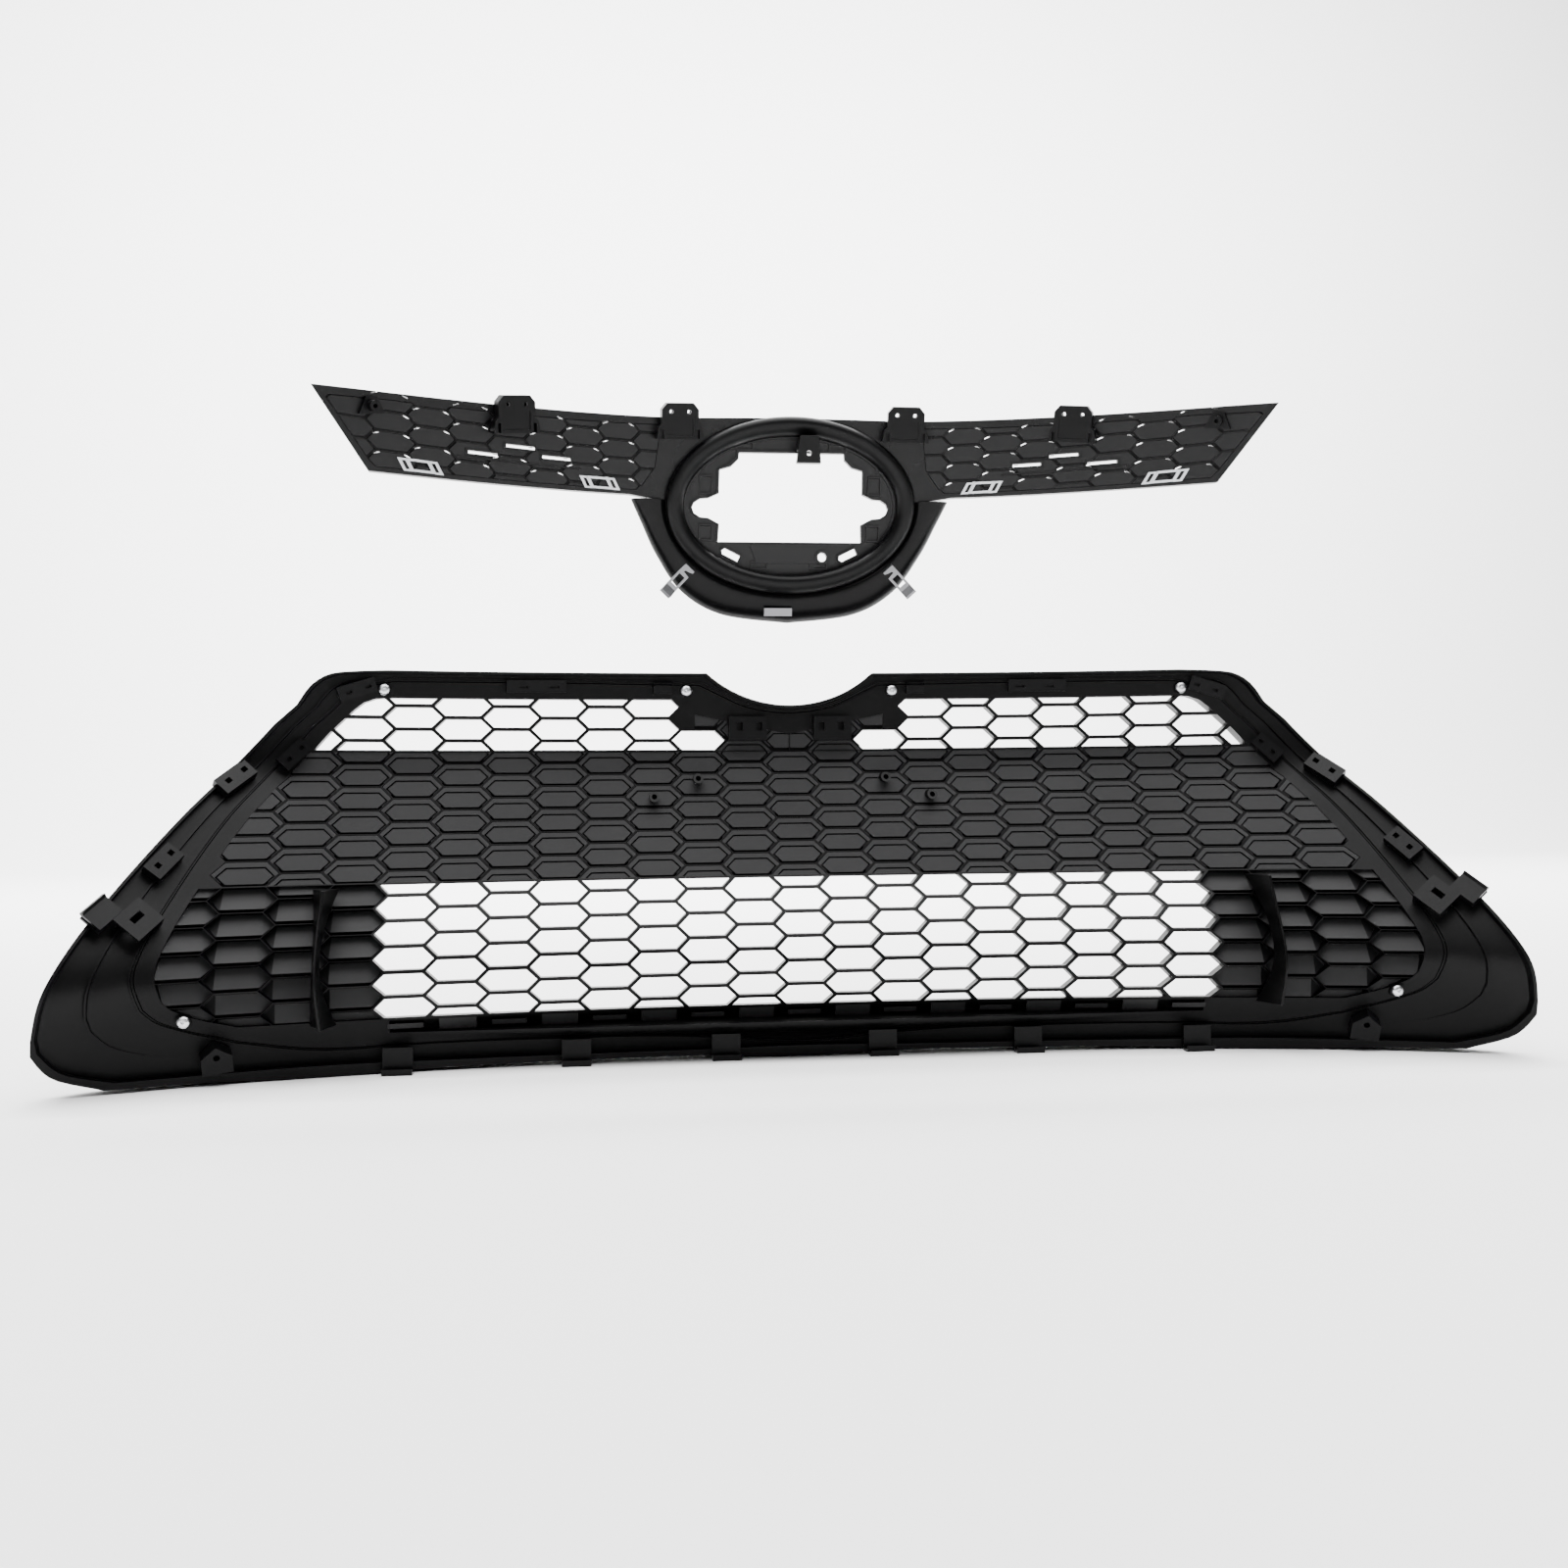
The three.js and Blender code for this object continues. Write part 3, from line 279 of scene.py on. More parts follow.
def terraced(layers, surface):
    """A plate made of flat layers bent onto a surface. A layer is a polygon with a rear depth, a
    front depth or "hole", and later layers lie over earlier ones. The first is the whole plate.
    Depths may be functions of (x, z). Gives points, faces and each face's look."""
    points, polygons = [], []
    for layer in layers:
        start = len(points)
        points += layer["points"]
        polygons.append(list(range(start, len(points))))
    flat, _, triangles, _, _, owners = delaunay_2d_cdt(
        [Vector(p) for p in points], [], polygons, 1, 1e-5, True)

    def depth(value, x, z):
        return value(x, z) if callable(value) else value

    def last_of(ids, side):
        top = next(i for i in sorted(ids, reverse=True) if layers[i].get(side) is not None)
        return layers[top][side], layers[top].get("look", 0)

    placed, made, faces, painted = {}, [], [], []

    def vertex(index, side, value):
        x, z = flat[index]
        y = depth(value, x, z)
        key = (index, side, round(y, 3))
        if key not in placed:
            placed[key] = len(made)
            made.append((x, y + surface(x, z), z))
        return placed[key]

    sides = {}
    for triangle, ids in zip(triangles, owners):
        if 0 not in ids or any(layers[i].get("hole") for i in ids):
            continue
        rear, look = last_of(ids, "rear")
        front, _ = last_of(ids, "front")
        faces.append([vertex(i, "rear", rear) for i in reversed(triangle)])
        faces.append([vertex(i, "front", front) for i in triangle])
        painted += [look, 0]
        for a, b in zip(triangle, triangle[1:] + triangle[:1]):
            sides[(a, b)] = (rear, front)

    def wall(corners):
        ring = [c for k, c in enumerate(corners) if c != corners[k - 1]]
        if len(ring) > 2:
            faces.append(ring)
            painted.append(0)

    for (a, b), (rear, front) in sides.items():
        other = sides.get((b, a))
        if other is None:
            wall([vertex(a, "rear", rear), vertex(b, "rear", rear),
                  vertex(b, "front", front), vertex(a, "front", front)])
        elif a < b:
            for side, mine, theirs in (("rear", rear, other[0]), ("front", front, other[1])):
                wall([vertex(a, side, mine), vertex(b, side, mine),
                      vertex(b, side, theirs), vertex(a, side, theirs)])
    return made, faces, painted


def loop_loft(rings):
    size = len(rings[0])
    faces = []
    for r in range(len(rings)):
        n = (r + 1) % len(rings)
        for i in range(size):
            k = (i + 1) % size
            faces.append([r * size + i, r * size + k, n * size + k, n * size + i])
    return [p for ring in rings for p in ring], faces


def strip(rings):
    points, faces = loop_loft(rings)
    size = len(rings[0])
    faces = faces[:-size]
    last = (len(rings) - 1) * size
    faces.append(list(range(size)))
    faces.append([last + i for i in reversed(range(size))])
    return points, faces


# ---------------------------------------------------------------- materials

def plastic(name, colour, roughness, grain=0.35, specular=0.5):
    """Moulded plastic: slight blotches of tone and gloss, and a fine grain on the surface."""
    gloss_scale, tone_scale, grain_scale, grain_depth = 14.0, 6.0, 2600.0, 0.2 * MM
    gloss_spread = 0.06
    look = bpy.data.materials.new(name)
    look.use_nodes = True
    nodes, links = look.node_tree.nodes, look.node_tree.links
    shader = nodes["Principled BSDF"]
    shader.inputs["Specular IOR Level"].default_value = specular
    place = nodes.new("ShaderNodeTexCoord").outputs["Object"]

    def noise(scale, detail):
        node = nodes.new("ShaderNodeTexNoise")
        node.inputs["Scale"].default_value = scale
        node.inputs["Detail"].default_value = detail
        links.new(place, node.inputs["Vector"])
        return node.outputs["Fac"]

    def spread(source, low, high, target):
        node = nodes.new("ShaderNodeMapRange")
        node.inputs["To Min"].default_value = low
        node.inputs["To Max"].default_value = high
        links.new(source, node.inputs["Value"])
        links.new(node.outputs["Result"], target)

    gloss = noise(gloss_scale, 4.0)
    spread(gloss, roughness - gloss_spread, roughness + gloss_spread, shader.inputs["Roughness"])
    ramp = nodes.new("ShaderNodeMix")
    ramp.data_type = "RGBA"
    ramp.inputs["A"].default_value = (*[0.8 * c for c in colour], 1)
    ramp.inputs["B"].default_value = (*[1.2 * c for c in colour], 1)
    links.new(noise(tone_scale, 3.0), ramp.inputs["Factor"])
    links.new(ramp.outputs["Result"], shader.inputs["Base Color"])
    bump = nodes.new("ShaderNodeBump")
    bump.inputs["Strength"].default_value = grain
    bump.inputs["Distance"].default_value = grain_depth
    links.new(noise(grain_scale, 2.0), bump.inputs["Height"])
    links.new(bump.outputs["Normal"], shader.inputs["Normal"])
    return look


def metal(name, colour, roughness):
    """Sheet or plated metal with fine streaks."""
    look = bpy.data.materials.new(name)
    look.use_nodes = True
    nodes, links = look.node_tree.nodes, look.node_tree.links
    shader = nodes["Principled BSDF"]
    shader.inputs["Metallic"].default_value = 1.0
    place = nodes.new("ShaderNodeTexCoord").outputs["Object"]
    stretch = nodes.new("ShaderNodeMapping")
    stretch.inputs["Scale"].default_value = (40.0, 900.0, 900.0)
    links.new(place, stretch.inputs["Vector"])
    streaks = nodes.new("ShaderNodeTexNoise")
    streaks.inputs["Scale"].default_value = 1.0
    streaks.inputs["Detail"].default_value = 3.0
    links.new(stretch.outputs["Vector"], streaks.inputs["Vector"])
    rough = nodes.new("ShaderNodeMapRange")
    rough.inputs["To Min"].default_value = roughness - 0.1
    rough.inputs["To Max"].default_value = roughness + 0.15
    links.new(streaks.outputs["Fac"], rough.inputs["Value"])
    links.new(rough.outputs["Result"], shader.inputs["Roughness"])
    tone = nodes.new("ShaderNodeMix")
    tone.data_type = "RGBA"
    tone.inputs["A"].default_value = (*[0.75 * c for c in colour], 1)
    tone.inputs["B"].default_value = (*colour, 1)
    links.new(streaks.outputs["Fac"], tone.inputs["Factor"])
    links.new(tone.outputs["Result"], shader.inputs["Base Color"])
    return look


# A lighter copy of the honeycomb moulding's black for its plateaus, rims, side plates, near ends and
# teeth: painted light.
MESH_BLACK_PAINTED_LIGHT = plastic("mesh_black_painted_light", (0.012, 0.012, 0.0125), 0.6, specular=0.2)
# A darker copy of the moulding's black for the sunk strips between cells and the far end facets of
# the side plates: painted shade.
MESH_BLACK_PAINTED_SHADE = plastic("mesh_black_painted_shade", (0.003, 0.003, 0.0032), 0.6, specular=0.12)
FRAME_BLACK = plastic("frame_black", (0.001, 0.001, 0.0011), 0.4, 0.25, specular=0.12)
UPPER_BLACK = plastic("upper_black", (0.003, 0.003, 0.0033), 0.32, specular=0.22)
UNDER_BLACK = plastic("under_black", (0.001, 0.001, 0.0011), 0.9, 0.25, specular=0.0)
RING_BLACK = plastic("ring_black", (0.0015, 0.0015, 0.0017), 0.38, specular=0.15)
# A darker copy of the upper black for the grooves between the wing plates and the rest of the wing
# round them: painted shade.
UPPER_BLACK_PAINTED_SHADE = plastic("upper_black_painted_shade", (0.001, 0.001, 0.0012), 0.28, specular=0.2)
CLIP_BLACK = plastic("clip_black", (0.0012, 0.0012, 0.0014), 0.36, specular=0.14)
GLOSS_BLACK = plastic("gloss_black", (0.0015, 0.0015, 0.0017), 0.24, 0.03, specular=0.12)
ZINC = metal("zinc", (0.85, 0.86, 0.88), 0.3)
SPRING = metal("spring_steel", (0.6, 0.61, 0.63), 0.28)
DULL_STEEL = metal("dull_steel", (0.22, 0.22, 0.23), 0.34)

LOWER, UPPER = "lower_grille", "upper_grille"


# ---------------------------------------------------------------- lower grille: frame line

def half_stations(fine):
    """Matched (outer, inner, chin) points round half of the surround, fine times the CAD's count."""
    notch_angle = math.asin(NOTCH_HALF_WIDTH / NOTCH_RADIUS)

    def notch(t):
        angle = notch_angle * t
        return (NOTCH_RADIUS * math.sin(angle), NOTCH_BOTTOM + NOTCH_RADIUS * (1 - math.cos(angle)))

    def bend(*points):
        return lambda t: spline(points, t)

    # Notch, top edge, top corner, side, lower corner and bottom edge: outer and inner curve,
    # steps, and how much chin there is at each end.
    runs = [
        (notch, bend((0, 318), (46, 325), (96, TOP_INNER - 1)), 4, (0, 0)),
        (bend((NOTCH_HALF_WIDTH + 2, TOP_OUTER), (390, TOP_OUTER)),
         bend((100, TOP_INNER), (382, TOP_INNER)), 5, (0, 0)),
        (bend((412, 371), (440, 368), (458, 357), (471, 338)),
         bend((391, 348), (403, 347), (414, 343), (424, 335)), 3, (0, 0)),
        (bend((490, 320), (556, 240), (610, 160), (640, 100), (655, 52)),
         bend((446, 313), (507, 236), (548, 160), (567, 110), (566, 88)), 12, (0, 0)),
        (bend((655, 40), (640, 20), (604, BOTTOM_OUTER)),
         bend((563, 77), (552, 66), (530, 57)), 3, (0.3, 1)),
        (bend((540, BOTTOM_OUTER), (0, BOTTOM_OUTER)),
         bend((496, 47), (400, 38), (200, 33), (0, BOTTOM_INNER)), 7, (1, 1)),
    ]
    stations = []
    for outer, inner, steps, chin in runs:
        count = steps * fine
        for i in range(count + 1):
            t = i / count
            stations.append((outer(t), inner(t), chin[0] + (chin[1] - chin[0]) * t))
    return stations


def all_stations(fine):
    """The half stations and their mirror images, once round the surround."""
    half = half_stations(fine)
    left = [((-o[0], o[1]), (-i[0], i[1]), chin) for o, i, chin in reversed(half[1:-1])]
    return half + left


STATIONS = all_stations(3)


def out_from(station, distance):
    """The point that lies a distance outwards from the inner edge at a station."""
    outer, inner, _ = station
    width = math.dist(outer, inner)
    return tuple(i + (o - i) * distance / width for o, i in zip(outer, inner))


def surround_section(width, chin):
    """(distance from the inner edge, depth) round the shell, as rear and front parts. The fold is a
    second rail, which fades out where the shell is narrow or has a chin."""
    narrow, easing = 34, 8
    wide = min(1.0, max(0.0, (width - narrow) / easing)) * (1 - chin)
    rail = FLANGE + 2.4
    fold = rail + 2.0 + 0.5 * max(0.0, width - SHELL - rail - 5)
    fold_top = FOLD_HEIGHT * wide - SEAM
    chin_depth = -(SHELL + 3) - (CHIN - SHELL - 3) * chin
    rear = [
        (0, -STEP), (LEDGE, -STEP), (LEDGE, -SEAM),
        (rail, -SEAM), (rail + 0.3, RAIL_HEIGHT), (rail + 1.6, RAIL_HEIGHT), (rail + 1.9, -SEAM),
        (fold, -SEAM), (fold + 0.4 * wide + 0.1, fold_top),
        (fold + 1.8 * wide + 0.2, fold_top), (fold + 2.2 * wide + 0.3, -SEAM),
        (width - SHELL, -SEAM), (width - SHELL, REAR_LIP), (width + LIP_DROP * chin, REAR_LIP),
    ]
    front = [
        (width + BOTTOM_OUTER * chin, chin_depth), (width - SHELL, -SEAM - SHELL),
        (LEDGE + SHELL, -SEAM - SHELL), (LEDGE + SHELL, -STEP - SHELL),
        (SHELL, -STEP - SHELL), (1, -STEP - 10),
    ]
    return rear, front


def surround():
    """The shell round the mesh. Its face between the rear lip and the chin has its own look."""
    rings = []
    for station in STATIONS:
        outer, inner, chin = station
        rear, front = surround_section(math.dist(outer, inner), chin)
        ring = []
        for distance, depth in rear + front:
            x, z = out_from(station, distance)
            ring.append((x, depth + lower_surface(x, max(z, 0)), z))
        rings.append(ring)
    points, faces = loop_loft(rings)
    underside = len(rear) - 1
    painted = [int(i % len(rings[0]) == underside) for i in range(len(faces))]
    new_piece("surround_shell", points, faces, LOWER, (FRAME_BLACK, UNDER_BLACK),
              ["lower_surround"], bevel=0.7, sharp=40, painted=painted)


# ---------------------------------------------------------------- lower grille: mesh

def layer_adder(layers, field):
    """A function that adds a polygon to layers, cut to the field and left out where it is tiny."""
    edge_gap, smallest_area = 0.5, 12

    def add(points, **depths):
        clipped = without_tiny_edges(clip_to_field(points, field, edge_gap))
        if len(clipped) > 2 and signed_area(clipped) > smallest_area:
            layers.append({"points": clipped, **depths})

    return add


def closed_cell(centre, cell, field, deep=6.4, low=2.2):
    """A blind cell: a plateau low in the cell, a narrow groove over its top, a rim above that, and
    a sunk strip between this cell and the next. The front has a pocket with a raised floor."""
    x, z = centre
    half = cell["pitch_z"] / 2
    pocket_floor = -MESH_DEPTH + 3.0
    layers = []
    add = layer_adder(layers, field)
    # The sunk strip takes the darker mesh black: painted shade.
    add(hexagon(x, z, cell, half - 0.25), rear=-deep, look=2)
    rim = hexagon(x, z, cell, half - 1.0)
    flat = hexagon(x, z - low, cell, half - 4.4)
    groove = hexagon(x, z - low, cell, half - 3.0)
    bottom = flat[4][1]
    # The rim and the plateau take the lighter mesh black: painted light.
    add(clip_by_line(rim, (-FAR, bottom + 1.5), (FAR, bottom + 1.5)), rear=0.0, look=1)
    add(clip_by_line(groove, (-FAR, bottom), (FAR, bottom)), rear=-deep - 0.8)
    add(flat, rear=-0.9, look=1)
    add(hexagon(x, z, cell, half - cell["bar"] / 2), front=pocket_floor)
    return layers


def shingle(centre, cell, field, side):
    """A closed side cell: a plate that slopes out towards its lower edge, with two bent ends."""
    x, z = centre
    half = cell["pitch_z"] / 2
    sunk, rise, thickness = -9.0, 7.5, 2.2
    top = z + half - 2.5
    low = z - half + 3.0
    bend = cell["pitch_x"] / 2 - cell["slant"] / 2

    def plate(_, pz):
        return sunk + rise * min(1.0, (top - pz) / (top - low))

    def plate_front(px, pz):
        return plate(px, pz) - thickness

    def inner_end(px, pz):
        return plate(px, pz) - 0.25 * max(0.0, side * (x - px) - bend)

    def far_end(px, pz):
        return max(plate(px, pz) - 0.7 * max(0.0, side * (px - x) - bend), -10.0)

    layers = []
    add = layer_adder(layers, field)
    add(hexagon(x, z, cell, half - 0.2), rear=-9.5)
    whole = hexagon(x, z, cell, half - 1.2)
    body = clip_by_line(clip_by_line(whole, (-FAR, low), (FAR, low)), (FAR, top), (-FAR, top))
    left, right = x - bend, x + bend
    middle = clip_by_line(body, (left, FAR), (left, -FAR))
    # The plate takes the lighter mesh black: painted light.
    add(clip_by_line(middle, (right, -FAR), (right, FAR)), rear=plate, front=plate_front, look=1)
    ends = [(clip_by_line(body, (left, -FAR), (left, FAR)), -1),
            (clip_by_line(body, (right, FAR), (right, -FAR)), 1)]
    # The end bent away from the centre takes the darker mesh black as painted shade, the end towards
    # the centre the lighter one as painted light.
    for points, way in ends:
        if way == side:
            add(points, rear=far_end, look=2)
        else:
            add(points, rear=inner_end, look=1)
    return layers


def lower_mesh():
    outline = anticlockwise([out_from(s, FLANGE) for s in STATIONS])
    inner = [s[1] for s in all_stations(1)]
    notch_reach = 99
    field = anticlockwise([p for p in inner if abs(p[0]) >= notch_reach or p[1] <= BAND_HIGH])

    def band(low, high):
        raised = clip_by_line(field, (-700, low), (700, low))
        return without_tiny_edges(clip_by_line(raised, (700, high), (-700, high)), 1)

    edge = CELL["bar"] / 2
    top = band(BAND_HIGH, TOP_INNER)
    middle = band(BAND_LOW, BAND_HIGH)
    bottom = band(FIELD_FLOOR, BAND_LOW)
    layers = [{"points": outline, "rear": 0.0, "front": -MESH_DEPTH}]
    notch_centre = (0, NOTCH_BOTTOM + NOTCH_RADIUS)
    for column, centre, points in cells_in(top, CELL, edge):
        if any(math.dist(p, notch_centre) < NOTCH_RADIUS + NOTCH_CLEAR for p in points):
            continue
        if abs(column) > 1:
            layers.append({"points": points, "hole": True})
        else:
            layers += closed_cell(centre, CELL, top, 7.0)
    for side in (1, -1):
        corners = [(0, BAND_HIGH), (96, BAND_HIGH), (96, 332), (0, 312)]
        under_notch = anticlockwise([(side * x, z) for x, z in corners])
        for _, centre, _ in cells_in(under_notch, CELL, edge):
            layers += closed_cell(centre, CELL, under_notch, 5.0, 1.0)
    for _, centre, _ in cells_in(middle, CELL, edge):
        layers += closed_cell(centre, CELL, middle)
    for column, centre, points in cells_in(bottom, CELL, edge):
        if abs(column) <= OPEN_COLUMNS:
            layers.append({"points": points, "hole": True})
        else:
            layers += shingle(centre, CELL, bottom, math.copysign(1, column))
    layers += bottom_teeth()
    for x, z in both_sides(SCREWS):
        layers.append({"points": oval(SCREW_PAD, SCREW_PAD, 24, x, z), "rear": 3.2})
        layers.append({"points": oval(BORE, BORE, 16, x, z), "hole": True})
    for x, z in both_sides(PLATE_POSTS):
        layers.append({"points": oval(5.0, 5.0, 24, x, z), "rear": PLATE_POST_HEIGHT})
        layers.append({"points": oval(BORE, BORE, 16, x, z), "rear": 3.0})
    points, faces, painted = terraced(layers, lower_surface)
    # One plastic in three blacks: the frame black, a lighter copy as painted light and a darker copy
    # as painted shade.
    new_piece("honeycomb_moulding", points, faces, LOWER,
              (FRAME_BLACK, MESH_BLACK_PAINTED_LIGHT, MESH_BLACK_PAINTED_SHADE), ["lower_mesh"], bevel=0.35, painted=painted)


def bottom_teeth():
    """The skirt under the open cells: blocks under the half cells, low bars under the whole ones."""
    reach = OPEN_COLUMNS * CELL["pitch_x"] + TEETH_MARGIN
    layers = [{"points": rectangle(-reach, reach, 37.5, 49.0), "rear": -8.0}]
    block, bar = (38.5, 49.0, 16.5), (41.0, 45.5, 15.5)
    for column in range(-OPEN_COLUMNS, OPEN_COLUMNS + 1):
        x = column * CELL["pitch_x"]
        low, high, half = block if column % 2 else bar
        tooth = rectangle(x - half, x + half, low, high)
        # The teeth take the lighter mesh black: painted light.
        layers.append({"points": tooth, "rear": -SEAM, "look": 1})
    return layers


def both_sides(places):
    return [(side * x, z) for x, z in places for side in (1, -1)]


def turned(profile, x, y, z, sides=24):
    """Rings of a profile of (radius, depth) points turned about a line along Y."""
    rings = []
    for i in range(sides):
        angle = math.tau * i / sides
        rings.append([(x + r * math.cos(angle), y + d, z + r * math.sin(angle)) for r, d in profile])
    return loop_loft(rings)


def screws():
    """Pan-head screws with a plain recess."""
    head_height = 3.6
    shank = [(0.01, -16), (1.6, -16), (2.0, -14), (2.0, 0)]
    head = [(5.6, 0), (5.6, 1.2), (5.2, 2.2), (4.2, 3.1), (2.6, head_height)]
    recess = [(1.6, head_height), (1.1, 1.8), (0.01, 1.4)]
    for i, (x, z) in enumerate(both_sides(SCREWS), 1):
        y = lower_surface(x, z) + SCREW_HEAD_REAR - head_height
        points, faces = turned(shank + head + recess, x, y, z)
        new_piece(f"pan_screw_{i}", points, faces, LOWER, ZINC, [f"mesh_screw_{i}"])


def air_blades():
    """Upright blades beside the closed side cells, thin at the waist and wide at both ends."""
    low, high = BLADE_SPAN
    steps, foot_gap, lean, tip = 32, 1.6, 3, 1.2
    for side, name in ((1, "left"), (-1, "right")):
        rings = []
        for i in range(steps + 1):
            z = low + (high - low) * i / steps
            waist = 1 - (2 * i / steps - 1) ** 2
            rise = 40 - 14 * waist
            x = BLADE_X + 4 * waist
            base = max(lower_surface(x, z), lower_surface(x + 12, z)) + foot_gap
            half = 12.0 - 8.5 * waist
            section = [
                (x - half, base), (x + half, base), (x + 0.4 * half - 2, base + 0.5 * rise),
                (x + tip - lean, base + rise), (x - tip - lean, base + rise),
                (x - 0.4 * half - 2, base + 0.5 * rise),
            ]
            rings.append([(side * px, py, z) for px, py in section])
        points, faces = strip(rings)
        new_piece(f"guide_blade_{name}", points, faces, LOWER, FRAME_BLACK,
                  [f"air_blade_{name}"], bevel=0.6)


# ---------------------------------------------------------------- upper grille

def upper_outline(fine=4):
    right = []
    step = 40 / fine
    for i in range(10 * fine + 1):
        x = i * step
        right.append((x, 618 - 10 * (x / 400) ** 1.6))
    right += [(436, 606), (394, 541)]
    for i in range(5 * fine + 1):
        x = 360 - i * step
        right.append((x, 541 + 3 * ((394 - x) / 234) ** 0.8))
    steps = 8 * fine
    arc_x, arc_z = RING_OUTER[0] + 6, RING_OUTER[1] + 5
    for i in range(steps + 1):
        angle = 0.06 - (math.pi / 2 + 0.06) * i / steps
        right.append((arc_x * math.cos(angle), RING_Z + arc_z * math.sin(angle)))
    left = [(-x, z) for x, z in reversed(right[1:-1])]
    return anticlockwise(right + left)


def tick(x, z, way):
    """A short slanted slot by the shoulder of a cell."""
    half_length, half_width, lean = 2.6, 0.55, 0.35 * way
    along = (half_length * math.cos(lean), half_length * math.sin(lean))
    across = (-half_width * math.sin(lean), half_width * math.cos(lean))
    return [
        (x - along[0] - across[0], z - along[1] - across[1]),
        (x + along[0] - across[0], z + along[1] - across[1]),
        (x + along[0] + across[0], z + along[1] + across[1]),
        (x - along[0] + across[0], z - along[1] + across[1]),
    ]


def upper_panel():
    """Closed wings: plates with grooves between them, short slots at their shoulders, long slits."""
    cell = UPPER_CELL
    half = cell["pitch_z"] / 2
    layers = [{"points": upper_outline(), "rear": 0.0, "front": -UPPER_DEPTH}]
    wing = [(150, 548), (390, 545), (427, 600), (375, 603.5), (128, 610), (134, 570)]
    slits = [(296, 568), (262, 577.5), (229, 571)]
    for side in (1, -1):
        field = anticlockwise([(side * x, z) for x, z in wing])
        ticks = []
        for _, (x, z), points in cells_in(field, cell, 0.5, 60):
            gap = clip_to_field(hexagon(x, z, cell, half - 0.2), field, 0.3)
            plate = clip_to_field(hexagon(x, z - 0.5, cell, half - 1.3), field, 0.9)
            near_slit = any(abs(side * x - sx) < 22 and abs(z - sz) < 9 for sx, sz in slits)
            if signed_area(gap) > 30:
                # The grooves between the plates take the darker copy of the upper black: painted
                # shade.
                layers.append({"points": without_tiny_edges(gap), "rear": -2.2})
            if signed_area(plate) > 30:
                layers.append({"points": without_tiny_edges(plate), "rear": -0.3, "look": 1})
            if signed_area(points) > 60:
                layers.append({"points": points, "front": -3.4})
            if len(points) == 6 and not near_slit:
                ticks += [tick(x - 12.5, z + 5.6, 1), tick(x + 12.5, z + 5.6, -1)]
        layers += [{"points": points, "hole": True} for points in ticks]
        for sx, sz in slits:
            x = side * sx
            layers.append({"points": rectangle(x - 15, x + 15, sz - 3.2, sz + 3.2), "rear": 0.8})
            layers.append({"points": rectangle(x - 13, x + 13, sz - 1.4, sz + 1.4), "hole": True})
        low, high = sorted((side * 206, side * 318))
        layers.append({"points": rectangle(low, high, 562.6, 563.8), "rear": 1.6})
    layers.append({"points": oval(*RING_INNER, 96), "hole": True})
    points, faces, painted = terraced(layers, upper_surface)
    # The wing's grooves and its area round the plates take the darker upper black as painted shade,
    # the plates the plain upper black.
    new_piece("wing_moulding", points, faces, UPPER, (UPPER_BLACK_PAINTED_SHADE, UPPER_BLACK),
              ["upper_panel"], bevel=0.3, painted=painted)


def emblem_ring():
    """The ring: an arch of half-round section with a narrow flat foot."""
    middle = [(o + i) / 2 for o, i in zip(RING_OUTER, RING_INNER)]
    half = (RING_OUTER[0] - RING_INNER[0]) / 2
    section = [(half, 1.0), (half - 1.2, 0.6), (1.2 - half, 0.6), (-half, 1.0)]
    for i in range(17):
        angle = math.pi - math.pi * i / 16
        section.append((half * math.cos(angle), 4 + (RING_DEPTH - 4) * math.sin(angle)))
    rings = []
    for k in range(128):
        angle = math.tau * k / 128
        ring = []
        for out, depth in section:
            x = (middle[0] + out) * math.cos(angle)
            z = RING_Z + (middle[1] + out) * math.sin(angle)
            ring.append((x, depth + upper_surface(x, z), z))
        rings.append(ring)
    points, faces = loop_loft(rings)
    new_piece("emblem_ring_tube", points, faces, UPPER, RING_BLACK,
              ["emblem_ring"], sharp=50)


def slanted_slot(side, grow):
    """A pointed slot low in the bracket, leaning towards the ring, larger all round by grow."""
    lean = 0.45 * side
    shape = [(-9 - grow, -3.2 - grow), (8 + grow, -3.2 - grow), (10 + grow, 0),
             (8 + grow, 3.2 + grow), (-9 - grow, 3.2 + grow)]
    return anticlockwise([
        (side * 59 + a * math.cos(lean) - b * math.sin(lean),
         490 + a * math.sin(lean) + b * math.cos(lean)) for a, b in shape])


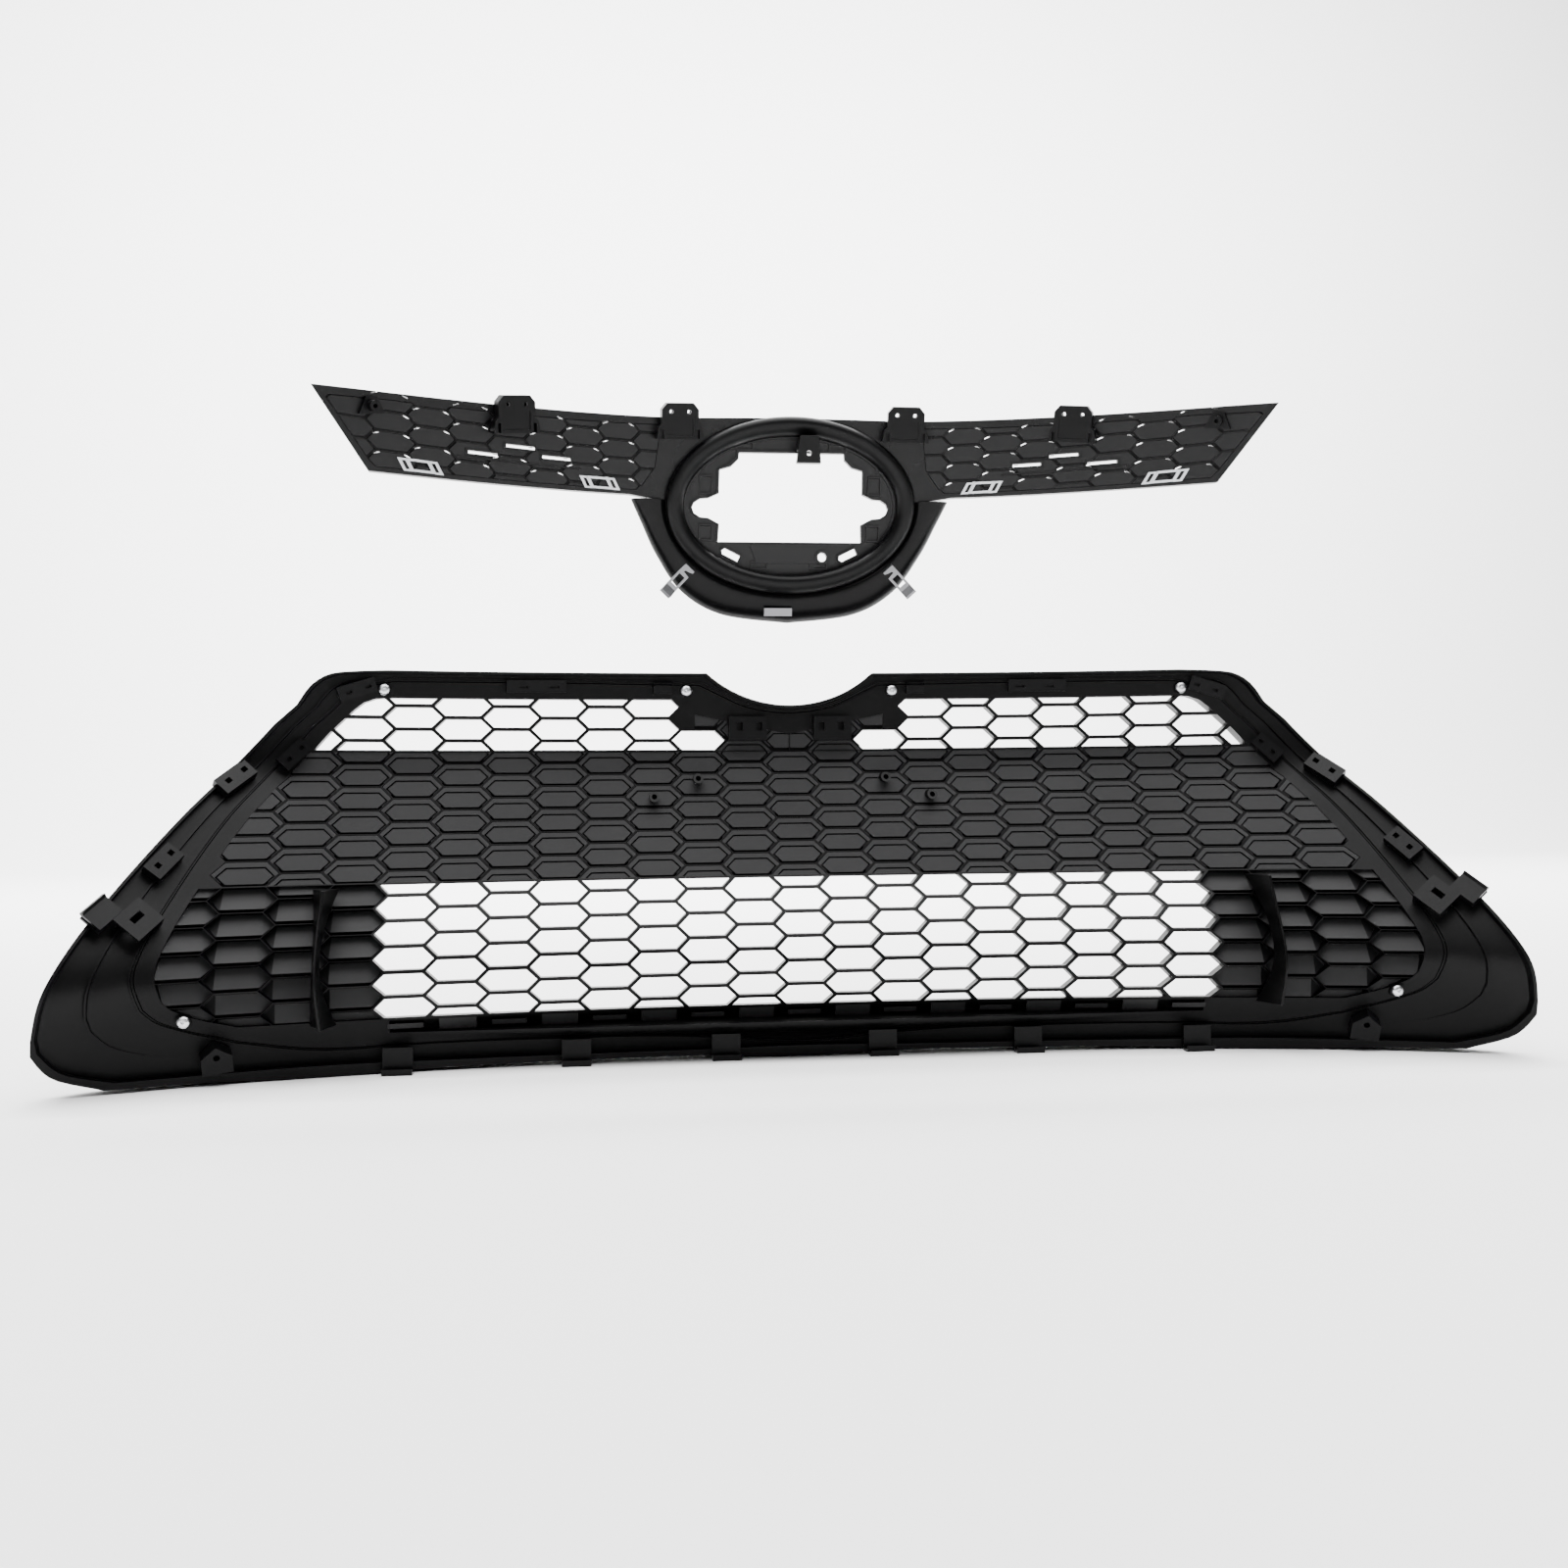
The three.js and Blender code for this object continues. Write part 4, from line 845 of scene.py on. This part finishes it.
def emblem_base():
    """Bracket inside the ring, with raised edges, ribs and small bosses round its window."""
    right = [(52, 586), (52.5, 580), (60, 573), (71, 570), (71.5, 548), (82, 543.4), (90, 542.8),
             (96, 539), (98, 534), (96, 529), (90, 525.2), (82, 524.6), (71, 519), (72, 502.4)]
    pads = [(84, 556, 7, 9), (84, 511, 7, 8), (46, 592, 9, 4), (30, 480, 9, 4), (88, 574, 3, 6)]
    edge, pad_wall, window_floor, shoulder = 2.2, 1.6, 500.4, 570

    def widened(points):
        return [(x + edge, z + (edge if z > shoulder else 0)) for x, z in points]

    def mirrored_pair(points):
        return anticlockwise(points + [(-x, z) for x, z in reversed(points)])

    frame_edge = clip_by_line(
        mirrored_pair(widened(right)), (-200, window_floor), (200, window_floor))
    layers = [
        {"points": oval(107, 68, 96), "rear": 0.0, "front": -4.0},
        {"points": oval(103.5, 64.6, 96), "rear": -1.6},
        {"points": frame_edge, "rear": 1.2},
    ]
    for side in (1, -1):
        for pad_x, z, w, h in pads:
            x = side * pad_x
            inner_w, inner_h = w - pad_wall, h - pad_wall
            layers.append({"points": rectangle(x - w, x + w, z - h, z + h), "rear": 0.4})
            hollow = rectangle(x - inner_w, x + inner_w, z - inner_h, z + inner_h)
            layers.append({"points": hollow, "rear": -2.4})
        layers.append({"points": slanted_slot(side, 1.6), "rear": 0.6})
        layers.append({"points": slanted_slot(side, 0), "hole": True})
    layers.append({"points": [(-40, 500), (-33, 482), (33, 482), (40, 500)], "rear": -0.2})
    layers.append({"points": oval(7, 7, 24, -33, 488), "rear": 1.4})
    layers.append({"points": oval(4.4, 4.4, 20, -33, 488), "hole": True})
    layers.append({"points": mirrored_pair(right), "hole": True})
    points, faces, painted = terraced(layers, lambda x, z: upper_surface(x, z) - SEAM)
    new_piece("emblem_bracket", points, faces, UPPER, UPPER_BLACK, ["emblem_base"],
              bevel=0.3, painted=painted)


def lobe():
    """Trim under the ring, rolled at its rear and tucked in at the ring's outer edge."""
    steps, ring_gap = 84, 0.6
    section = [(0.32, 0.8), (0, 0.8), (0, 2.6), (0.06, 4.4), (0.16, 5.6), (0.3, 6.0), (0.45, 5.4),
               (0.6, 3.9), (0.75, 1.6), (0.88, -1.4), (0.96, -4.4), (1, -8), (0.6, -9), (0.4, -5)]
    near = [radius + ring_gap for radius in RING_OUTER]
    rings = []
    for i in range(steps + 1):
        t = 2 * i / steps
        side = 1 if t <= 1 else -1
        ex, ez = spline(LOBE_EDGE, t if t <= 1 else 2 - t)
        out = (side * ex, ez)
        angle = math.atan2((out[1] - RING_Z) / near[1], out[0] / near[0])
        inner = (near[0] * math.cos(angle), RING_Z + near[1] * math.sin(angle))
        ring = []
        for f, depth in section:
            x, z = (a + (b - a) * f for a, b in zip(inner, out))
            ring.append((x, depth + upper_surface(x, z), z))
        rings.append(ring)
    points, faces = strip(rings)
    new_piece("lobe_trim", points, faces, UPPER, GLOSS_BLACK, ["lobe_garnish"],
              sharp=55)


def slanted_bar(side, x, z, low, high, half):
    """A parallelogram from low to high along x about (x, z), leaning out towards its top."""
    lean = 0.5 * half
    corners = [(low - lean, -half), (high - lean, -half), (high + lean, half), (low + lean, half)]
    return anticlockwise([(side * (x + a), z + b) for a, b in corners])


def spring_frames():
    """Bent sheet clips: a slanted frame round a window, with a slanted bar at each end."""
    for side, name in ((1, "left"), (-1, "right")):
        for x, z, place in ((350, 550, "outer"), (188, 552, "inner")):
            layers = [
                {"points": slanted_bar(side, x, z, -17, 17, 5.4), "rear": 2.0, "front": 0.6},
                {"points": slanted_bar(side, x, z, -9.5, 9.5, 5.4), "rear": 3.2},
                {"points": slanted_bar(side, x, z, -7.5, 7.5, 3.2), "hole": True},
                {"points": slanted_bar(side, x, z, -14, -11, 3.6), "hole": True},
                {"points": slanted_bar(side, x, z, 11, 14, 3.6), "hole": True},
            ]
            points, faces, _ = terraced(layers, upper_surface)
            new_piece(f"sheet_clip_{place}_{name}", points, faces, UPPER, SPRING,
                      [f"spring_clip_{place}_{name}"], bevel=0.25)


def centre_boss():
    """Boss over the emblem window: a foot on the bracket and a head over the window's edge."""
    head = anticlockwise([(-26, 572), (-2, 572), (-5, 597), (-23, 597)])
    layers = [
        {"points": head, "rear": 26.0, "front": 19.0},
        {"points": rectangle(-23.5, -4.5, 587, 596.5), "front": -1.0},
        {"points": oval(2.5, 2.5, 20, -14, 581), "hole": True},
    ]
    points, faces, painted = terraced(layers, upper_surface)
    new_piece("centre_boss", points, faces, UPPER, CLIP_BLACK, ["top_centre_clip"],
              bevel=0.35, painted=painted)


def dress_cad_nodes():
    """The other clips, brackets and hooks keep their CAD shape, with softened edges."""
    metal_names = ("lobe_clip", "lobe_centre_clip")
    for name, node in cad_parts.items():
        if node.hide_render:
            continue
        look = DULL_STEEL if name.startswith(metal_names) else CLIP_BLACK
        node.data.materials.clear()
        node.data.materials.append(look)
        soften(node, 0.35)


# ---------------------------------------------------------------- stage

def area_light(name, place, target, size, power):
    lamp = bpy.data.lights.new(name, "AREA")
    lamp.shape = "RECTANGLE"
    lamp.size, lamp.size_y = size
    lamp.energy = power
    light = bpy.data.objects.new(name, lamp)
    light.location = place
    light.rotation_euler = (Vector(target) - Vector(place)).to_track_quat("-Z", "Y").to_euler()
    bpy.context.scene.collection.objects.link(light)


def stage():
    """A pale floor that curves up behind the grille's front, and three soft lights."""
    floor_mesh = bpy.data.meshes.new("floor")
    reach, near, back, bend_radius, bend_steps, height = 16.0, 30.0, -6.0, 1.5, 12, 9.0
    profile = [(near, 0.0), (back, 0.0)]
    for i in range(1, bend_steps + 1):
        angle = math.pi / 2 * i / bend_steps
        profile.append((back - bend_radius * math.sin(angle), bend_radius * (1 - math.cos(angle))))
    profile.append((back - bend_radius, height))
    points = [(x, y, z) for y, z in profile for x in (-reach, reach)]
    faces = [(2 * i, 2 * i + 1, 2 * i + 3, 2 * i + 2) for i in range(len(profile) - 1)]
    floor_mesh.from_pydata(points, [], faces)
    floor_mesh.shade_smooth()
    paint = bpy.data.materials.new("pale_floor")
    paint.use_nodes = True
    shader = paint.node_tree.nodes["Principled BSDF"]
    shader.inputs["Base Color"].default_value = (0.97, 0.97, 0.97, 1)
    shader.inputs["Roughness"].default_value = 0.9
    shader.inputs["Specular IOR Level"].default_value = 0.1
    floor_mesh.materials.append(paint)
    floor = bpy.data.objects.new("floor", floor_mesh)
    bpy.context.scene.collection.objects.link(floor)
    world = bpy.data.worlds.new("studio")
    world.use_nodes = True
    world.node_tree.nodes["Background"].inputs["Color"].default_value = (1, 1, 1, 1)
    world.node_tree.nodes["Background"].inputs["Strength"].default_value = 0.15
    bpy.context.scene.world = world
    area_light("overhead", (0, 0.5, 5.0), (0, 0.5, 0), (7.0, 7.0), 1150)
    area_light("backdrop_wash", (0, -2.6, 5.0), (0, -7.2, 1.4), (9.0, 2.0), 2100)
    area_light("key", (1.4, 3.2, 2.2), (0, 0, 0.3), (1.6, 1.2), 26)


def camera():
    """The eye is behind the grille, a little to its left, level with the lower grille's middle."""
    focal_px, frame_px, sensor = 1650.0, 1600.0, 36.0
    eye_mm = (201.3, 1616.8, 230.1)
    yaw, pitch, roll = math.radians(-6.88), math.radians(-1.09), math.radians(-0.68)
    level_part = math.cos(pitch)
    forward = Vector((math.sin(yaw) * level_part, -math.cos(yaw) * level_part, -math.sin(pitch)))
    level = forward.cross(Vector((0, 0, 1))).normalized()
    upright = level.cross(forward)
    right = math.cos(roll) * level + math.sin(roll) * upright
    up = math.cos(roll) * upright - math.sin(roll) * level
    data = bpy.data.cameras.new("camera")
    data.sensor_width = sensor
    data.lens = sensor * focal_px / frame_px
    eye = bpy.data.objects.new("camera", data)
    turn = Matrix((right, up, -forward)).transposed().to_4x4()
    eye.matrix_world = Matrix.Translation(to_frame(eye_mm)) @ turn
    bpy.context.scene.collection.objects.link(eye)
    bpy.context.scene.camera = eye


camera()
surround()
lower_mesh()
screws()
air_blades()
upper_panel()
emblem_ring()
emblem_base()
lobe()
spring_frames()
centre_boss()
dress_cad_nodes()
stage()

bpy.context.view_layer.update()
